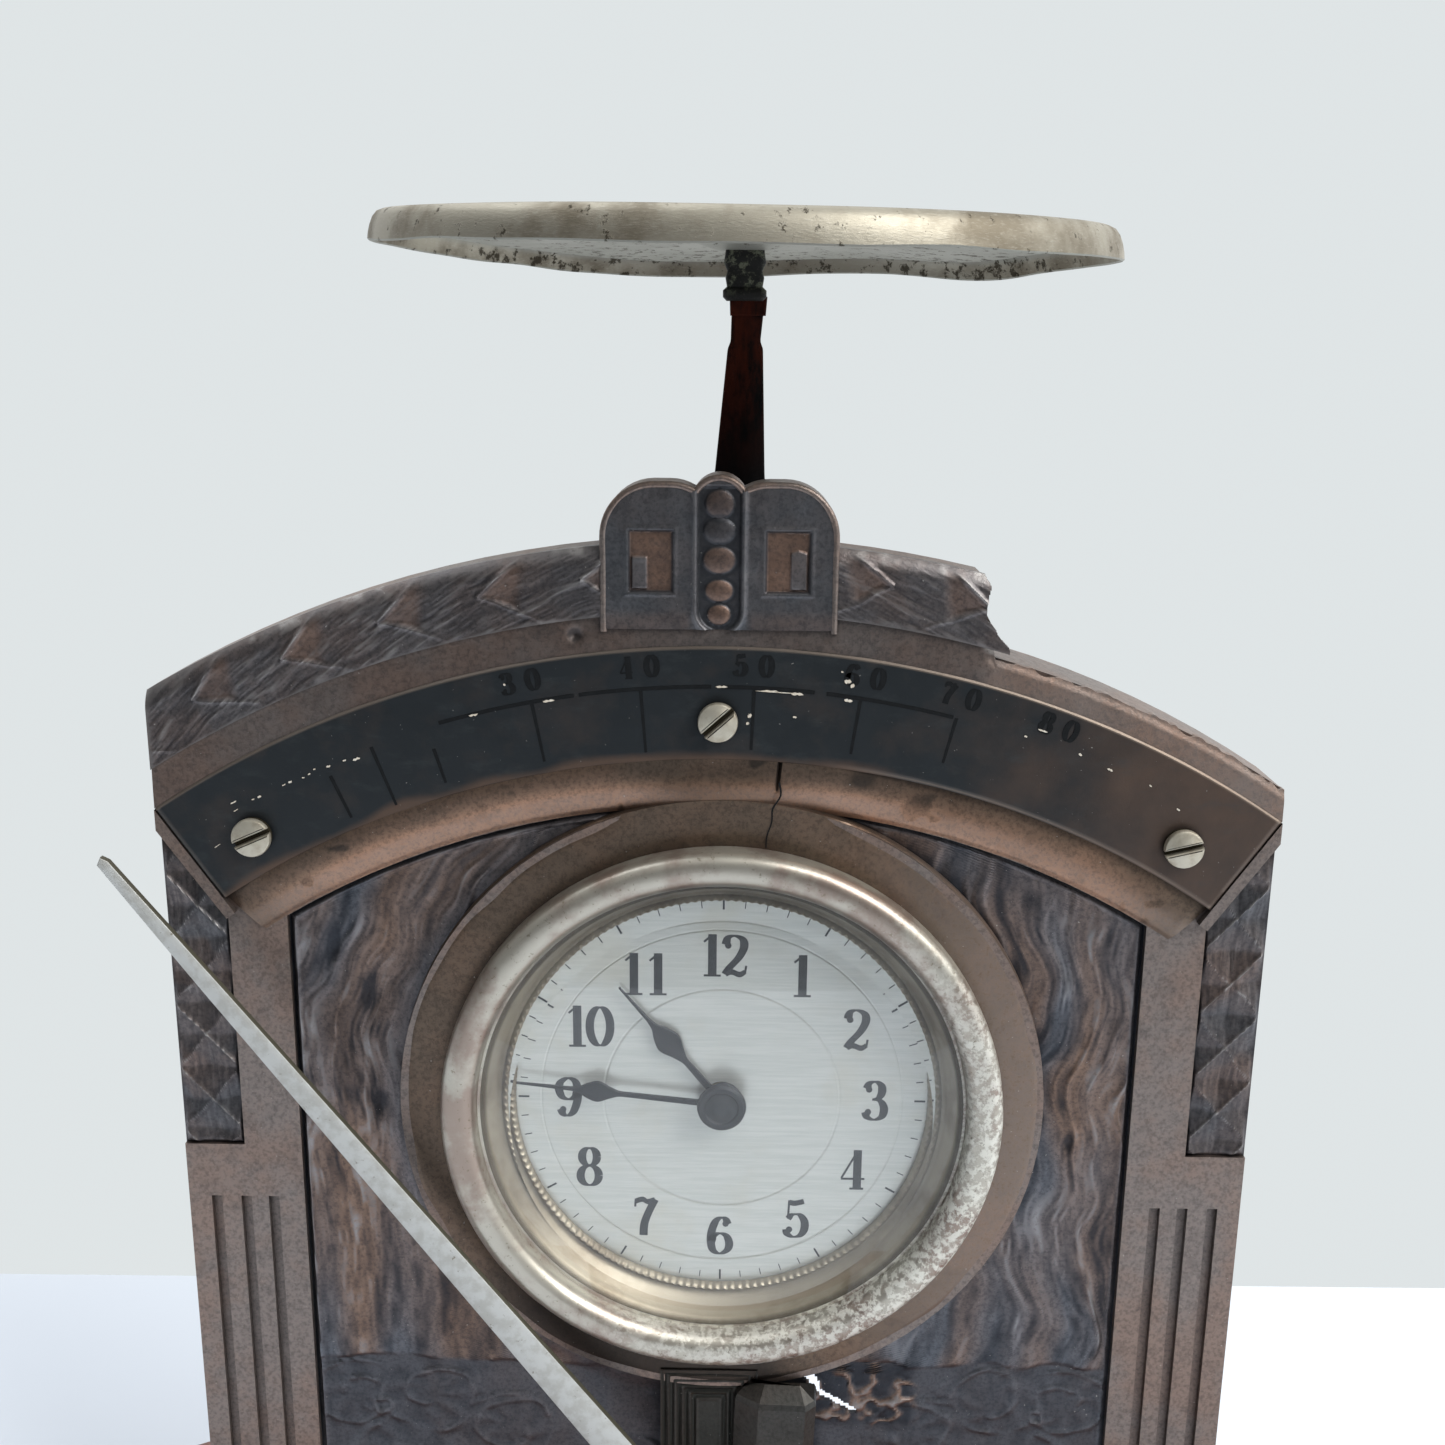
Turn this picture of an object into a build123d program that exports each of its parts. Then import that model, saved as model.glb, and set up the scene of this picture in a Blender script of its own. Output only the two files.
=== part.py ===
from build123d import *
import math
import os

# Letter scale with a clock let into its front. Front faces -Y, +Z is up, millimetres.
# The origin is the centre of the base's underside, on the table.

# ---- driving dimensions ----
CLOCK_Z = 108.5          # height of the clock's centre
CLOCK_X = 1.0            # the clock sits a little right of the casting's centre line
PIVOT_DROP = 68.2        # pointer arbor below the clock's centre
FRONT_Y = -7.0           # flat front of the casting
PLATE_T = 3.0            # casting wall
HALF_W = 74.4            # casting half width
RETURN_Y = 4.0           # back of the casting's side walls
BAND_R = 146.5           # outer edge of the ornament band
BROKEN_R = 136.5         # top edge where the band is missing
CREST_HALF = 15.0
BASE_W = 210.6
BASE_D = 94.0
BASE_T = 9.0
FELT_T = 1.5
BEZEL_R = 38.0
BOSS_R = 44.3
BOSS_T = 2.0
REST_ANGLE = 36.9        # pointer, left of vertical at rest
POINTER_R = 132.3
PAN_R = 51.5
PAN_X = 2.9
PAN_Y = 23.0
PAN_TOP = CLOCK_Z + 119.5
PAN_SHEET = 0.5
PAN_DEPTH = 2.0          # pan floor below the top of its rim
PAN_RIM = 4.0
PAN_ARM = 10.0           # pivot to pivot
PAN_ARM_ANGLE = 35.0     # above horizontal at rest
GUIDE_RISE = 24.0        # guide arm above the pan arm
WEIGHT_R = 8.5
WEIGHT_ARM = 21.5
WEIGHT_ANGLE = 250.3     # anticlockwise from +X, seen from the front
WEIGHT_ARM_HALF = 3.0
FIT = 0.05               # radial running clearance
HOUR, MINUTE = 10, 46
HOUR_LAG = 0.1           # hours the hour hand stands behind, through play in the motion work

PIVOT_Z = CLOCK_Z - PIVOT_DROP
BASE_TOP = FELT_T + BASE_T
BACK_Y = FRONT_Y + PLATE_T
POINTER_Y = FRONT_Y - 8.0
ARBOR_R = 1.5
PIN_R = 1.2
BRACKET_Y = 34.0
STEM_Y = PAN_Y - 0.6
STEM_T = 1.2
ARM_Y = STEM_Y + STEM_T + 0.4
ARM_T = 1.6
LEVER_ARM_Y = 29.0

# clock: layers along Y and gear train
DIAL_Y = FRONT_Y + 1.6
PLATE_A_Y = FRONT_Y + 6.5
PLATE_B_Y = FRONT_Y + 17.0
COVER_Y = FRONT_Y + 23.0
DRUM_R = 34.0
DRUM_WALL = 1.0
ARBOR_CLOCK_R = 0.9
MOTION_MODULE = 0.42
MOTION_DISTANCE = MOTION_MODULE * (12 + 36) / 2
HOUR_MODULE = 2 * MOTION_DISTANCE / (10 + 40)
TRAIN_MODULE = 0.3
BARREL_X = -TRAIN_MODULE * (80 + 10) / 2
THIRD_DISTANCE = TRAIN_MODULE * (64 + 8) / 2
THIRD_ANGLE = 60.0
SET_X = 2 * MOTION_DISTANCE
BALANCE_Z = -17.0
PILLARS = [(0, 24), (-17, -17), (17, -17)]


# ---- helpers: outlines are drawn in front view, local x = X and local y = Z ----
def front_plane(y):
    return Plane((0, y, 0), x_dir=(1, 0, 0), z_dir=(0, -1, 0))


def slab(face, y0, y1):
    """Solid between y0 and y1 from an outline in front view."""
    return extrude(front_plane(y1) * face, amount=y1 - y0)


def disc(r, x, z, y0, y1):
    return slab(Pos(x, z) * Circle(r), y0, y1)


def ring(outer, inner, x, z, y0, y1):
    return slab(Pos(x, z) * (Circle(outer) - Circle(inner)), y0, y1)


def polygon(points):
    return make_face(Polyline(*points, close=True))


def block(x0, x1, y0, y1, z0, z1):
    return Pos((x0 + x1) / 2, (y0 + y1) / 2, (z0 + z1) / 2) * Box(x1 - x0, y1 - y0, z1 - z0)


def polar(r, angle, x=0.0, z=0.0):
    """Point at radius r and angle from +X, seen from the front."""
    a = math.radians(angle)
    return (x + r * math.cos(a), z + r * math.sin(a))


def turned(profile, x=0.0, z=0.0):
    """Solid of revolution about a line along Y; profile points are (radius, y)."""
    face = make_face(Polyline(*[(r, y, 0) for r, y in profile], close=True))
    return Pos(x, 0, z) * revolve(face, Axis.Y)


def link(x0, z0, x1, z1, r0, r1, y0, y1):
    """Flat arm with round ends."""
    length = math.hypot(x1 - x0, z1 - z0)
    ux, uz = (x1 - x0) / length, (z1 - z0) / length
    sides = polygon([(x0 - uz * r0, z0 + ux * r0), (x1 - uz * r1, z1 + ux * r1),
                     (x1 + uz * r1, z1 - ux * r1), (x0 + uz * r0, z0 - ux * r0)])
    return slab(sides + Pos(x0, z0) * Circle(r0) + Pos(x1, z1) * Circle(r1), y0, y1)


def gear_face(teeth, module, phase):
    """Gear outline; a tooth centre lies at angle phase. Thin teeth leave backlash."""
    pitch = module * teeth / 2
    root, tip = pitch - 1.15 * module, pitch + 0.85 * module
    step = 360.0 / teeth
    points = []
    for i in range(teeth):
        centre = phase + i * step
        for radius, half in ((root, 0.27), (pitch, 0.20), (tip, 0.09)):
            points.append(polar(radius, centre - half * step))
        for radius, half in ((tip, 0.09), (pitch, 0.20), (root, 0.27)):
            points.append(polar(radius, centre + half * step))
    return polygon(points)


def mesh_phase(phase, teeth, direction, other_teeth):
    """Phase of the gear that meshes at this direction with a gear of the given phase."""
    part = ((direction - phase) * teeth / 360.0) % 1.0
    return direction + 180.0 - (0.5 - part) * 360.0 / other_teeth


def slotted_screw(x, z, head_r, head_y, head_t, shank_r, shank_end):
    """Cheese-head screw along Y: its head's front is at head_y, its shank runs back."""
    back = head_y + head_t
    head = disc(head_r, x, z, head_y, back) - block(
        x - head_r, x + head_r, head_y, head_y + head_t * 0.45, z - 0.4, z + 0.4)
    return head + disc(shank_r, x, z, back, shank_end)


def upright_screw(x, y, z_head, head_r, head_t, shank_r, shank_len, up=True):
    """Screw along Z, its shank pointing up or down from the head."""
    sign = 1 if up else -1
    head = Pos(x, y, z_head) * Cylinder(head_r, head_t)
    slot = Pos(x, y, z_head - sign * head_t * 0.35) * Box(2 * head_r, 0.8, head_t * 0.5)
    z_shank = z_head + sign * (head_t + shank_len) / 2
    return (head - slot) + Pos(x, y, z_shank) * Cylinder(shank_r, shank_len)


# ---- stand ----
CASTING_SCREW_X = 60.0
CASTING_SCREW_Y = 0.0
BRACKET_SCREW_X = 8.0
BRACKET_SCREW_Y = 41.0


def make_base():
    slab_shape = RectangleRounded(BASE_W, BASE_D, 14)
    base = Pos(0, 0, FELT_T) * extrude(slab_shape, amount=BASE_T)
    base = chamfer(base.faces().sort_by(Axis.Z)[-1].edges(), 2.2)
    for x in (-CASTING_SCREW_X, CASTING_SCREW_X):
        base -= Pos(x, CASTING_SCREW_Y, FELT_T + BASE_T / 2) * Cylinder(1.6, BASE_T)
        base -= Pos(x, CASTING_SCREW_Y, FELT_T + 1.5) * Cylinder(3.4, 3.0)
    for x in (-BRACKET_SCREW_X, BRACKET_SCREW_X):
        base -= Pos(x, BRACKET_SCREW_Y, BASE_TOP - 3) * Cylinder(1.25, 6.0)
    return base


def make_felt():
    return extrude(RectangleRounded(BASE_W - 6, BASE_D - 6, 11), amount=FELT_T)


def arc_face(radius):
    """Disc about the pointer arbor, which every long arc of the front shares."""
    return Pos(0, PIVOT_Z) * Circle(radius)


def top_height(radius, x):
    return PIVOT_Z + math.sqrt(radius ** 2 - x ** 2)


def casting_outline():
    """Plate with an arched top, lower on the right where the band has broken off."""
    corner = top_height(BAND_R, 35)
    column = Pos(0, 150) * Rectangle(2 * HALF_W, 300)
    left = column & arc_face(BAND_R)
    keep = polygon([(-100, BASE_TOP), (100, BASE_TOP), (100, 300), (41, 300),
                    (39, CLOCK_Z + 62.5), (36, CLOCK_Z + 66), (33, CLOCK_Z + 71.5),
                    (34, corner + 9), (-100, corner + 60)])
    lower = column & arc_face(BROKEN_R) & (Pos(0, BASE_TOP + 150) * Rectangle(200, 300))
    return (left & keep & (Pos(-33, BASE_TOP + 150) * Rectangle(136, 300))) + lower


def crest_outline():
    """Two round-shouldered lobes with a small round top between them."""
    crest = Pos(0, CLOCK_Z + 82.9) * Circle(3.6)
    for sign in (-1, 1):
        crest += Pos(sign * 7.4, CLOCK_Z + 76.6) * RectangleRounded(15.2, 18.0, 6.6)
    return crest + Pos(0, CLOCK_Z + 70.5) * Rectangle(2 * CREST_HALF, 10)


PANEL_INNER, PANEL_OUTER = 7.2, 58.0
PANEL_BOTTOM = BASE_TOP + 10.0
PANEL_R = 111.3
LATTICE_INNER = 66.0


def panel_outline(sign):
    """Recessed side panel between the clock's boss and the outer frame strip."""
    area = Pos(sign * (PANEL_INNER + PANEL_OUTER) / 2, PANEL_BOTTOM + 75)
    area = area * Rectangle(PANEL_OUTER - PANEL_INNER, 150)
    return (area & arc_face(PANEL_R)) - Pos(CLOCK_X, CLOCK_Z) * Circle(BOSS_R)


def lattice_outline(sign):
    """Recess for the net ornament beside the frame post, cut off by the slanting strip."""
    return polygon([(sign * LATTICE_INNER, CLOCK_Z - 7.6), (sign * HALF_W, CLOCK_Z - 7.6),
                    (sign * HALF_W, CLOCK_Z + 41), (sign * LATTICE_INNER, CLOCK_Z + 27.5)])


def end_strip(sign):
    """Raised strip beside the number plate's end, parallel to it."""
    near, far = 90 - sign * 34.05, 90 - sign * 34.75
    strip = polygon([polar(r, a, 0, PIVOT_Z) for r, a in
                     ((115.5, near), (134.0, near), (134.0, far), (115.5, far))])
    return strip & (Pos(0, 150) * Rectangle(2 * HALF_W, 300))


def make_casting():
    casting = slab(casting_outline(), FRONT_Y, RETURN_Y)
    pocket = (Pos(0, BASE_TOP + 130) * Rectangle(2 * HALF_W - 5, 260)) & arc_face(BROKEN_R - 2.5)
    casting -= slab(pocket, BACK_Y, RETURN_Y)
    back_of_band = Pos(0, 150) * Rectangle(200, 300) - arc_face(BROKEN_R)
    casting -= slab(back_of_band, BACK_Y + 2, RETURN_Y)
    casting += slab(crest_outline(), FRONT_Y - 0.6, BACK_Y + 2)
    casting += disc(BOSS_R, CLOCK_X, CLOCK_Z, FRONT_Y - BOSS_T, FRONT_Y)
    for sign in (-1, 1):
        casting -= slab(panel_outline(sign), FRONT_Y, FRONT_Y + 1.2)
        casting -= slab(lattice_outline(sign), FRONT_Y, FRONT_Y + 1.0)
        casting += block(sign * CASTING_SCREW_X - 6, sign * CASTING_SCREW_X + 6,
                         BACK_Y, RETURN_Y, BASE_TOP, BASE_TOP + 12)
        casting -= Pos(sign * CASTING_SCREW_X, CASTING_SCREW_Y, BASE_TOP + 4.5) * Cylinder(1.5, 9)
        casting += slab(end_strip(sign), FRONT_Y - 1.2, FRONT_Y)
        for x in (62.4, 66.3, 70.5):
            casting -= block(sign * x - 0.75, sign * x + 0.75, FRONT_Y, FRONT_Y + 1.0,
                             BASE_TOP + 14, CLOCK_Z - 15.7)
    casting -= disc(DRUM_R + 0.4, CLOCK_X, CLOCK_Z, FRONT_Y - BOSS_T, RETURN_Y)
    casting -= disc(4.0, 0, PIVOT_Z, FRONT_Y, BACK_Y)
    casting -= disc(0.8, -18.5, CLOCK_Z + 66, FRONT_Y, RETURN_Y)
    casting -= broken_slit()
    for x, z in SCALE_SCREWS:
        casting -= disc(1.5, x, z, FRONT_Y, BACK_Y)
    return casting


SLIT_WALL = 1.8          # casting wall left around the slit


def broken_slit():
    """Slit through the right panel below the clock, and the thinned wall behind it."""
    slit = polygon([(13.2, -44.2), (15.6, -44.2), (17.6, -46.9), (22.0, -49.4),
                    (21.2, -51.9), (15.6, -49.2), (13.8, -46.8)])
    thinned = Pos(17.75, -50.8) * Rectangle(14.5, 12.4)
    opening = slab(Pos(0, CLOCK_Z) * slit, FRONT_Y, BACK_Y)
    return opening + slab(Pos(0, CLOCK_Z) * thinned, FRONT_Y + SLIT_WALL, BACK_Y)


NUMBER_INNER, NUMBER_OUTER = 118.0, 133.0
NUMBER_HALF_ANGLE = 34.0
NUMBER_T = 1.2
SCALE_SCREWS = [polar(123.2, 90 + a, 0, PIVOT_Z) for a in (-29.9, 0, 29.9)]


def make_number_plate():
    far = 200.0
    left, right = 90 + NUMBER_HALF_ANGLE, 90 - NUMBER_HALF_ANGLE
    wedge = polygon([(0, PIVOT_Z), polar(far, left, 0, PIVOT_Z), polar(far, right, 0, PIVOT_Z)])
    face = (arc_face(NUMBER_OUTER) - arc_face(NUMBER_INNER)) & wedge
    plate = slab(face, FRONT_Y - NUMBER_T, FRONT_Y)
    for x, z in SCALE_SCREWS:
        plate -= disc(1.6, x, z, FRONT_Y - NUMBER_T, FRONT_Y)
    return plate


def make_number_screws():
    head_y = FRONT_Y - NUMBER_T - 1.7
    return [slotted_screw(x, z, 2.8, head_y, 1.7, 1.5, BACK_Y) for x, z in SCALE_SCREWS]


def make_casting_screws():
    screws = []
    for x in (-CASTING_SCREW_X, CASTING_SCREW_X):
        screws.append(upright_screw(x, CASTING_SCREW_Y, FELT_T + 2.0, 3.0, 2.0, 1.5, 15.0))
    return screws


def make_bracket():
    top = PIVOT_Z + GUIDE_RISE
    web = polygon([(-13, BASE_TOP), (13, BASE_TOP), (13, BASE_TOP + 8), (7, top), (-7, top),
                   (-13, BASE_TOP + 8)]) + Pos(0, top) * Circle(7)
    bracket = slab(web, BRACKET_Y, BRACKET_Y + 2)
    bracket += block(-13, 13, BRACKET_Y + 2, 46, BASE_TOP, BASE_TOP + 2)
    for x in (-BRACKET_SCREW_X, BRACKET_SCREW_X):
        bracket -= Pos(x, BRACKET_SCREW_Y, BASE_TOP + 1) * Cylinder(1.4, 2)
    bracket -= disc(3.0, 0, PIVOT_Z, BRACKET_Y, BRACKET_Y + 2)
    bracket -= disc(ARBOR_R, 0, top, BRACKET_Y, BRACKET_Y + 2)
    bracket -= disc(PIN_R, *stop_place(), BRACKET_Y, BRACKET_Y + 2)
    return bracket


def stop_place():
    """The weight arm leans on this pin at rest: its half width, the pin and a hair's gap."""
    offset = math.degrees(math.asin((WEIGHT_ARM_HALF + PIN_R + FIT) / 14.0))
    return polar(14.0, WEIGHT_ANGLE + offset, 0, PIVOT_Z)


def make_bracket_screws():
    xs = (-BRACKET_SCREW_X, BRACKET_SCREW_X)
    return [upright_screw(x, BRACKET_SCREW_Y, BASE_TOP + 3.0, 2.5, 2.0, 1.2, 7.0, up=False)
            for x in xs]


def make_bush(y0, y1, outer, flange_y):
    bush = ring(outer, ARBOR_R + FIT, 0, PIVOT_Z, y0, y1)
    return bush + ring(outer + 1.5, ARBOR_R + FIT, 0, PIVOT_Z, *flange_y)


# ---- clock case ----
def make_bezel():
    y = FRONT_Y - BOSS_T
    profile = [(36.2, y), (BEZEL_R, y), (BEZEL_R, y - 3.0), (37.5, y - 4.1), (36.4, y - 4.6),
               (35.3, y - 4.6), (34.2, y - 4.0), (33.6, y - 3.1), (33.6, y - 2.6),
               (34.4, y - 2.6), (34.4, y - 1.2), (36.2, y - 1.2)]
    return turned(profile, 0, CLOCK_Z)


def make_glass():
    y = FRONT_Y - BOSS_T - 1.25
    profile = [(0, y), (34.2, y), (34.2, y - 0.8), (33.4, y - 0.9), (28.6, y - 2.2), (0, y - 2.2)]
    return turned(profile, 0, CLOCK_Z)


def make_drum():
    inner = DRUM_R - DRUM_WALL
    drum = ring(DRUM_R, inner, 0, CLOCK_Z, FRONT_Y - BOSS_T, COVER_Y)
    drum += ring(36.0, inner, 0, CLOCK_Z, FRONT_Y - BOSS_T - 1.0, FRONT_Y - BOSS_T)
    drum += ring(inner, inner - 1.6, 0, CLOCK_Z, PLATE_A_Y + 1.2, PLATE_A_Y + 2.4)
    for angle in COVER_SCREW_ANGLES:
        x, z = polar(31.2, angle, 0, CLOCK_Z)
        ear = disc(2.2, x, z, COVER_Y - 4, COVER_Y) & disc(inner, 0, CLOCK_Z, COVER_Y - 4, COVER_Y)
        drum += ear - disc(0.8, x, z, COVER_Y - 4, COVER_Y)
        drum -= disc(0.8, x, z, COVER_Y - 4, COVER_Y)
    return drum


COVER_SCREW_ANGLES = (30, 150, 225)


def make_back_cover():
    cover = disc(DRUM_R - 0.4, 0, CLOCK_Z, COVER_Y, COVER_Y + 1.2)
    for x, radius in ((BARREL_X, 3.0), (SET_X, 1.6)):
        cover -= disc(radius, x, CLOCK_Z, COVER_Y, COVER_Y + 1.2)
    slot = polygon([(0, 0), polar(30, 270 - 26), polar(30, 270 + 26)]) & (Circle(10.4) - Circle(8.6))
    cover -= slab(Pos(0, CLOCK_Z + BALANCE_Z) * slot, COVER_Y, COVER_Y + 1.2)
    for angle in COVER_SCREW_ANGLES:
        cover -= disc(0.9, *polar(31.2, angle, 0, CLOCK_Z), COVER_Y, COVER_Y + 1.2)
    return cover


def make_cover_screws():
    screws = []
    for angle in COVER_SCREW_ANGLES:
        x, z = polar(31.2, angle, 0, CLOCK_Z)
        head = disc(1.6, x, z, COVER_Y + 1.2, COVER_Y + 2.0)
        head -= block(x - 1.6, x + 1.6, COVER_Y + 1.6, COVER_Y + 2.0, z - 0.25, z + 0.25)
        screws.append(head + disc(0.75, x, z, COVER_Y - 3.5, COVER_Y + 1.2))
    return screws


CLAMP_ANGLES = (0, 120, 240)


def make_clamps():
    """Angle clips on the drum's side that pull the bezel against the front."""
    clips = []
    for angle in CLAMP_ANGLES:
        foot = Box(1.2, 8, 9, align=(Align.MIN, Align.MIN, Align.CENTER))
        toe = Box(6, 1.2, 9, align=(Align.MIN, Align.MIN, Align.CENTER))
        clip = foot + toe - Pos(0.6, 5, 0) * Rot(0, 90, 0) * Cylinder(1.0, 3)
        clip = Pos(DRUM_R, BACK_Y, 0) * clip
        curved = Cylinder(DRUM_R, 40, rotation=(90, 0, 0))
        clips.append(Pos(0, 0, CLOCK_Z) * Rot(0, -angle, 0) * (clip - curved))
    return clips


def make_clamp_screws():
    screws = []
    for angle in CLAMP_ANGLES:
        head = Pos(1.9, 0, 0) * Rot(0, 90, 0) * Cylinder(1.9, 1.2)
        slot = Pos(2.4, 0, 0) * Box(0.5, 4, 0.5)
        shank = Pos(0.65, 0, 0) * Rot(0, 90, 0) * Cylinder(0.95, 1.3)
        screw = Pos(DRUM_R, BACK_Y + 5, 0) * (head - slot + shank)
        screw -= Cylinder(DRUM_R, 60, rotation=(90, 0, 0))
        screws.append(Pos(0, 0, CLOCK_Z) * Rot(0, -angle, 0) * screw)
    return screws


def make_sight_ring():
    y = FRONT_Y
    profile = [(32.8, y - 2.9), (32.8, y + 1.0), (28.6, y + 1.4), (28.6, y + 0.4),
               (29.3, y - 0.2), (30.0, y + 0.1), (32.0, y - 2.9)]
    return turned(profile, 0, CLOCK_Z)


def make_dial():
    return ring(31.5, 2.6, 0, CLOCK_Z, DIAL_Y, DIAL_Y + 0.6)


# ---- clock movement ----
def make_movement_front():
    plate = disc(DRUM_R - DRUM_WALL - 0.3, 0, CLOCK_Z, PLATE_A_Y, PLATE_A_Y + 1.2)
    for x, z, radius in train_axes():
        plate -= disc(radius + FIT, x, z, PLATE_A_Y, PLATE_A_Y + 1.2)
    return plate


def make_movement_back():
    plate = disc(27.0, 0, CLOCK_Z, PLATE_B_Y, PLATE_B_Y + 1.2)
    for x, z, radius in train_axes():
        plate -= disc(radius + FIT, x, z, PLATE_B_Y, PLATE_B_Y + 1.2)
    plate -= disc(0.35, 0, CLOCK_Z + BALANCE_Z, PLATE_B_Y, PLATE_B_Y + 1.2)
    return plate


def third_place():
    return polar(THIRD_DISTANCE, THIRD_ANGLE, 0, CLOCK_Z)


def train_axes():
    axes = [(0, CLOCK_Z, ARBOR_CLOCK_R), (BARREL_X, CLOCK_Z, 1.4), (SET_X, CLOCK_Z, ARBOR_CLOCK_R)]
    axes.append((*third_place(), 0.5))
    return axes


def make_pillars():
    return [disc(1.5, x, CLOCK_Z + z, PLATE_A_Y + 1.2, PLATE_B_Y) for x, z in PILLARS]


def make_centre_wheel():
    """Centre arbor with the wheel that drives the third pinion and the leaf pinion."""
    pinion = mesh_phase(BARREL_PHASE, 80, 0.0, 10)
    body = disc(ARBOR_CLOCK_R, 0, CLOCK_Z, FRONT_Y - 0.6, PLATE_B_Y + 2)
    body += slab(Pos(0, CLOCK_Z) * gear_face(10, TRAIN_MODULE, pinion),
                 PLATE_A_Y + 3.4, PLATE_A_Y + 6.6)
    wheel = gear_face(64, TRAIN_MODULE, CENTRE_PHASE) - spoke_gaps(7.6, 2.4)
    return body + slab(Pos(0, CLOCK_Z) * wheel, PLATE_A_Y + 7.7, PLATE_A_Y + 8.5)


def spoke_gaps(outer, inner, spokes=4, width=1.3):
    gaps = Circle(outer) - Circle(inner)
    for i in range(spokes // 2):
        gaps -= Rot(0, 0, 180 * i * 2 / spokes) * Rectangle(2 * outer + 1, width)
    return gaps


BARREL_PHASE = 0.0
CENTRE_PHASE = 0.0


def make_barrel():
    face = gear_face(80, TRAIN_MODULE, BARREL_PHASE) - Circle(1.4 + FIT)
    barrel = slab(Pos(BARREL_X, CLOCK_Z) * face, PLATE_A_Y + 4.9, PLATE_A_Y + 6.1)
    drum = ring(11.0, 10.2, BARREL_X, CLOCK_Z, PLATE_A_Y + 1.7, PLATE_A_Y + 4.9)
    floor = ring(11.0, 1.4 + FIT, BARREL_X, CLOCK_Z, PLATE_A_Y + 1.7, PLATE_A_Y + 2.2)
    return barrel + drum + floor


def make_mainspring():
    """Coiled ribbon inside the barrel, drawn as nested turns joined by a short web."""
    y0, y1 = PLATE_A_Y + 2.5, PLATE_A_Y + 4.7
    turns = [ring(r, r - 0.4, BARREL_X, CLOCK_Z, y0, y1) for r in (5.0, 6.4, 7.8, 9.2)]
    web = block(BARREL_X + 4.7, BARREL_X + 10.2, y0, y1, CLOCK_Z - 0.3, CLOCK_Z + 0.3)
    spring = web
    for turn in turns:
        spring += turn
    return spring & disc(10.15, BARREL_X, CLOCK_Z, y0, y1)


def make_third_wheel():
    x, z = third_place()
    pinion = mesh_phase(CENTRE_PHASE, 64, THIRD_ANGLE, 8)
    body = disc(0.5, x, z, PLATE_A_Y, PLATE_B_Y + 1.2)
    body += slab(Pos(x, z) * gear_face(8, TRAIN_MODULE, pinion), PLATE_A_Y + 7.2, PLATE_A_Y + 9.4)
    wheel = gear_face(60, 0.25, 0.0) - spoke_gaps(5.9, 1.6, 4, 1.0)
    return body + slab(Pos(x, z) * wheel, PLATE_A_Y + 2.4, PLATE_A_Y + 3.1)


def make_balance():
    z = CLOCK_Z + BALANCE_Z
    rim = ring(8.0, 6.9, 0, z, PLATE_B_Y + 2.0, PLATE_B_Y + 2.9)
    arm = block(-7.2, 7.2, PLATE_B_Y + 2.1, PLATE_B_Y + 2.7, z - 0.6, z + 0.6)
    staff = disc(0.3, 0, z, PLATE_B_Y, PLATE_B_Y + 4.6) + disc(1.0, 0, z, PLATE_B_Y + 1.7, PLATE_B_Y + 3.3)
    return rim + arm + staff


def make_balance_cock():
    z = CLOCK_Z + BALANCE_Z
    y0 = PLATE_B_Y + 3.7
    cock = link(0, z, 11.5, z - 3, 1.9, 2.6, y0, y0 + 0.8) + disc(2.6, 11.5, z - 3, PLATE_B_Y + 1.2, y0)
    return cock - disc(0.35, 0, z, y0, y0 + 0.8)


def make_regulator():
    z = CLOCK_Z + BALANCE_Z
    y0 = PLATE_B_Y + 4.8
    lever = link(0, z, 0, z - 9.5, 1.5, 0.5, y0, y0 + 0.5) - disc(0.6, 0, z, y0, y0 + 0.5)
    return lever + disc(0.5, 0, z - 9.5, y0 + 0.5, COVER_Y + 3.0)


def make_key_arbor():
    arbor = disc(1.4, BARREL_X, CLOCK_Z, PLATE_A_Y, COVER_Y + 2.0)
    spring_core = disc(3.0, BARREL_X, CLOCK_Z, PLATE_A_Y + 2.5, PLATE_A_Y + 4.7)
    return arbor + spring_core


def make_key():
    barrel = ring(2.6, 1.4, BARREL_X, CLOCK_Z, COVER_Y + 0.2, COVER_Y + 2.0)
    barrel += disc(2.6, BARREL_X, CLOCK_Z, COVER_Y + 2.0, COVER_Y + 7.0)
    wing = Pos(BARREL_X, COVER_Y + 9.6, CLOCK_Z)
    grip = wing * (Box(1.6, 6.4, 15) - Pos(0, 0.8, 4.6) * Rot(0, 90, 0) * Cylinder(1.6, 3)
                   - Pos(0, 0.8, -4.6) * Rot(0, 90, 0) * Cylinder(1.6, 3))
    return barrel + grip


# ---- motion work and hands ----
CANNON_Y = (PLATE_A_Y - 2.1, PLATE_A_Y - 0.9)
HOUR_WHEEL_Y = (PLATE_A_Y - 3.7, PLATE_A_Y - 2.9)
MINUTE_HAND_Y = FRONT_Y - 0.4
HOUR_HAND_Y = FRONT_Y + 0.6


def make_cannon():
    face = gear_face(12, MOTION_MODULE, 0.0) - Circle(ARBOR_CLOCK_R)
    cannon = slab(Pos(0, CLOCK_Z) * face, *CANNON_Y)
    return cannon + ring(1.3, ARBOR_CLOCK_R, 0, CLOCK_Z, MINUTE_HAND_Y + 0.4, CANNON_Y[0])


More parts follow.
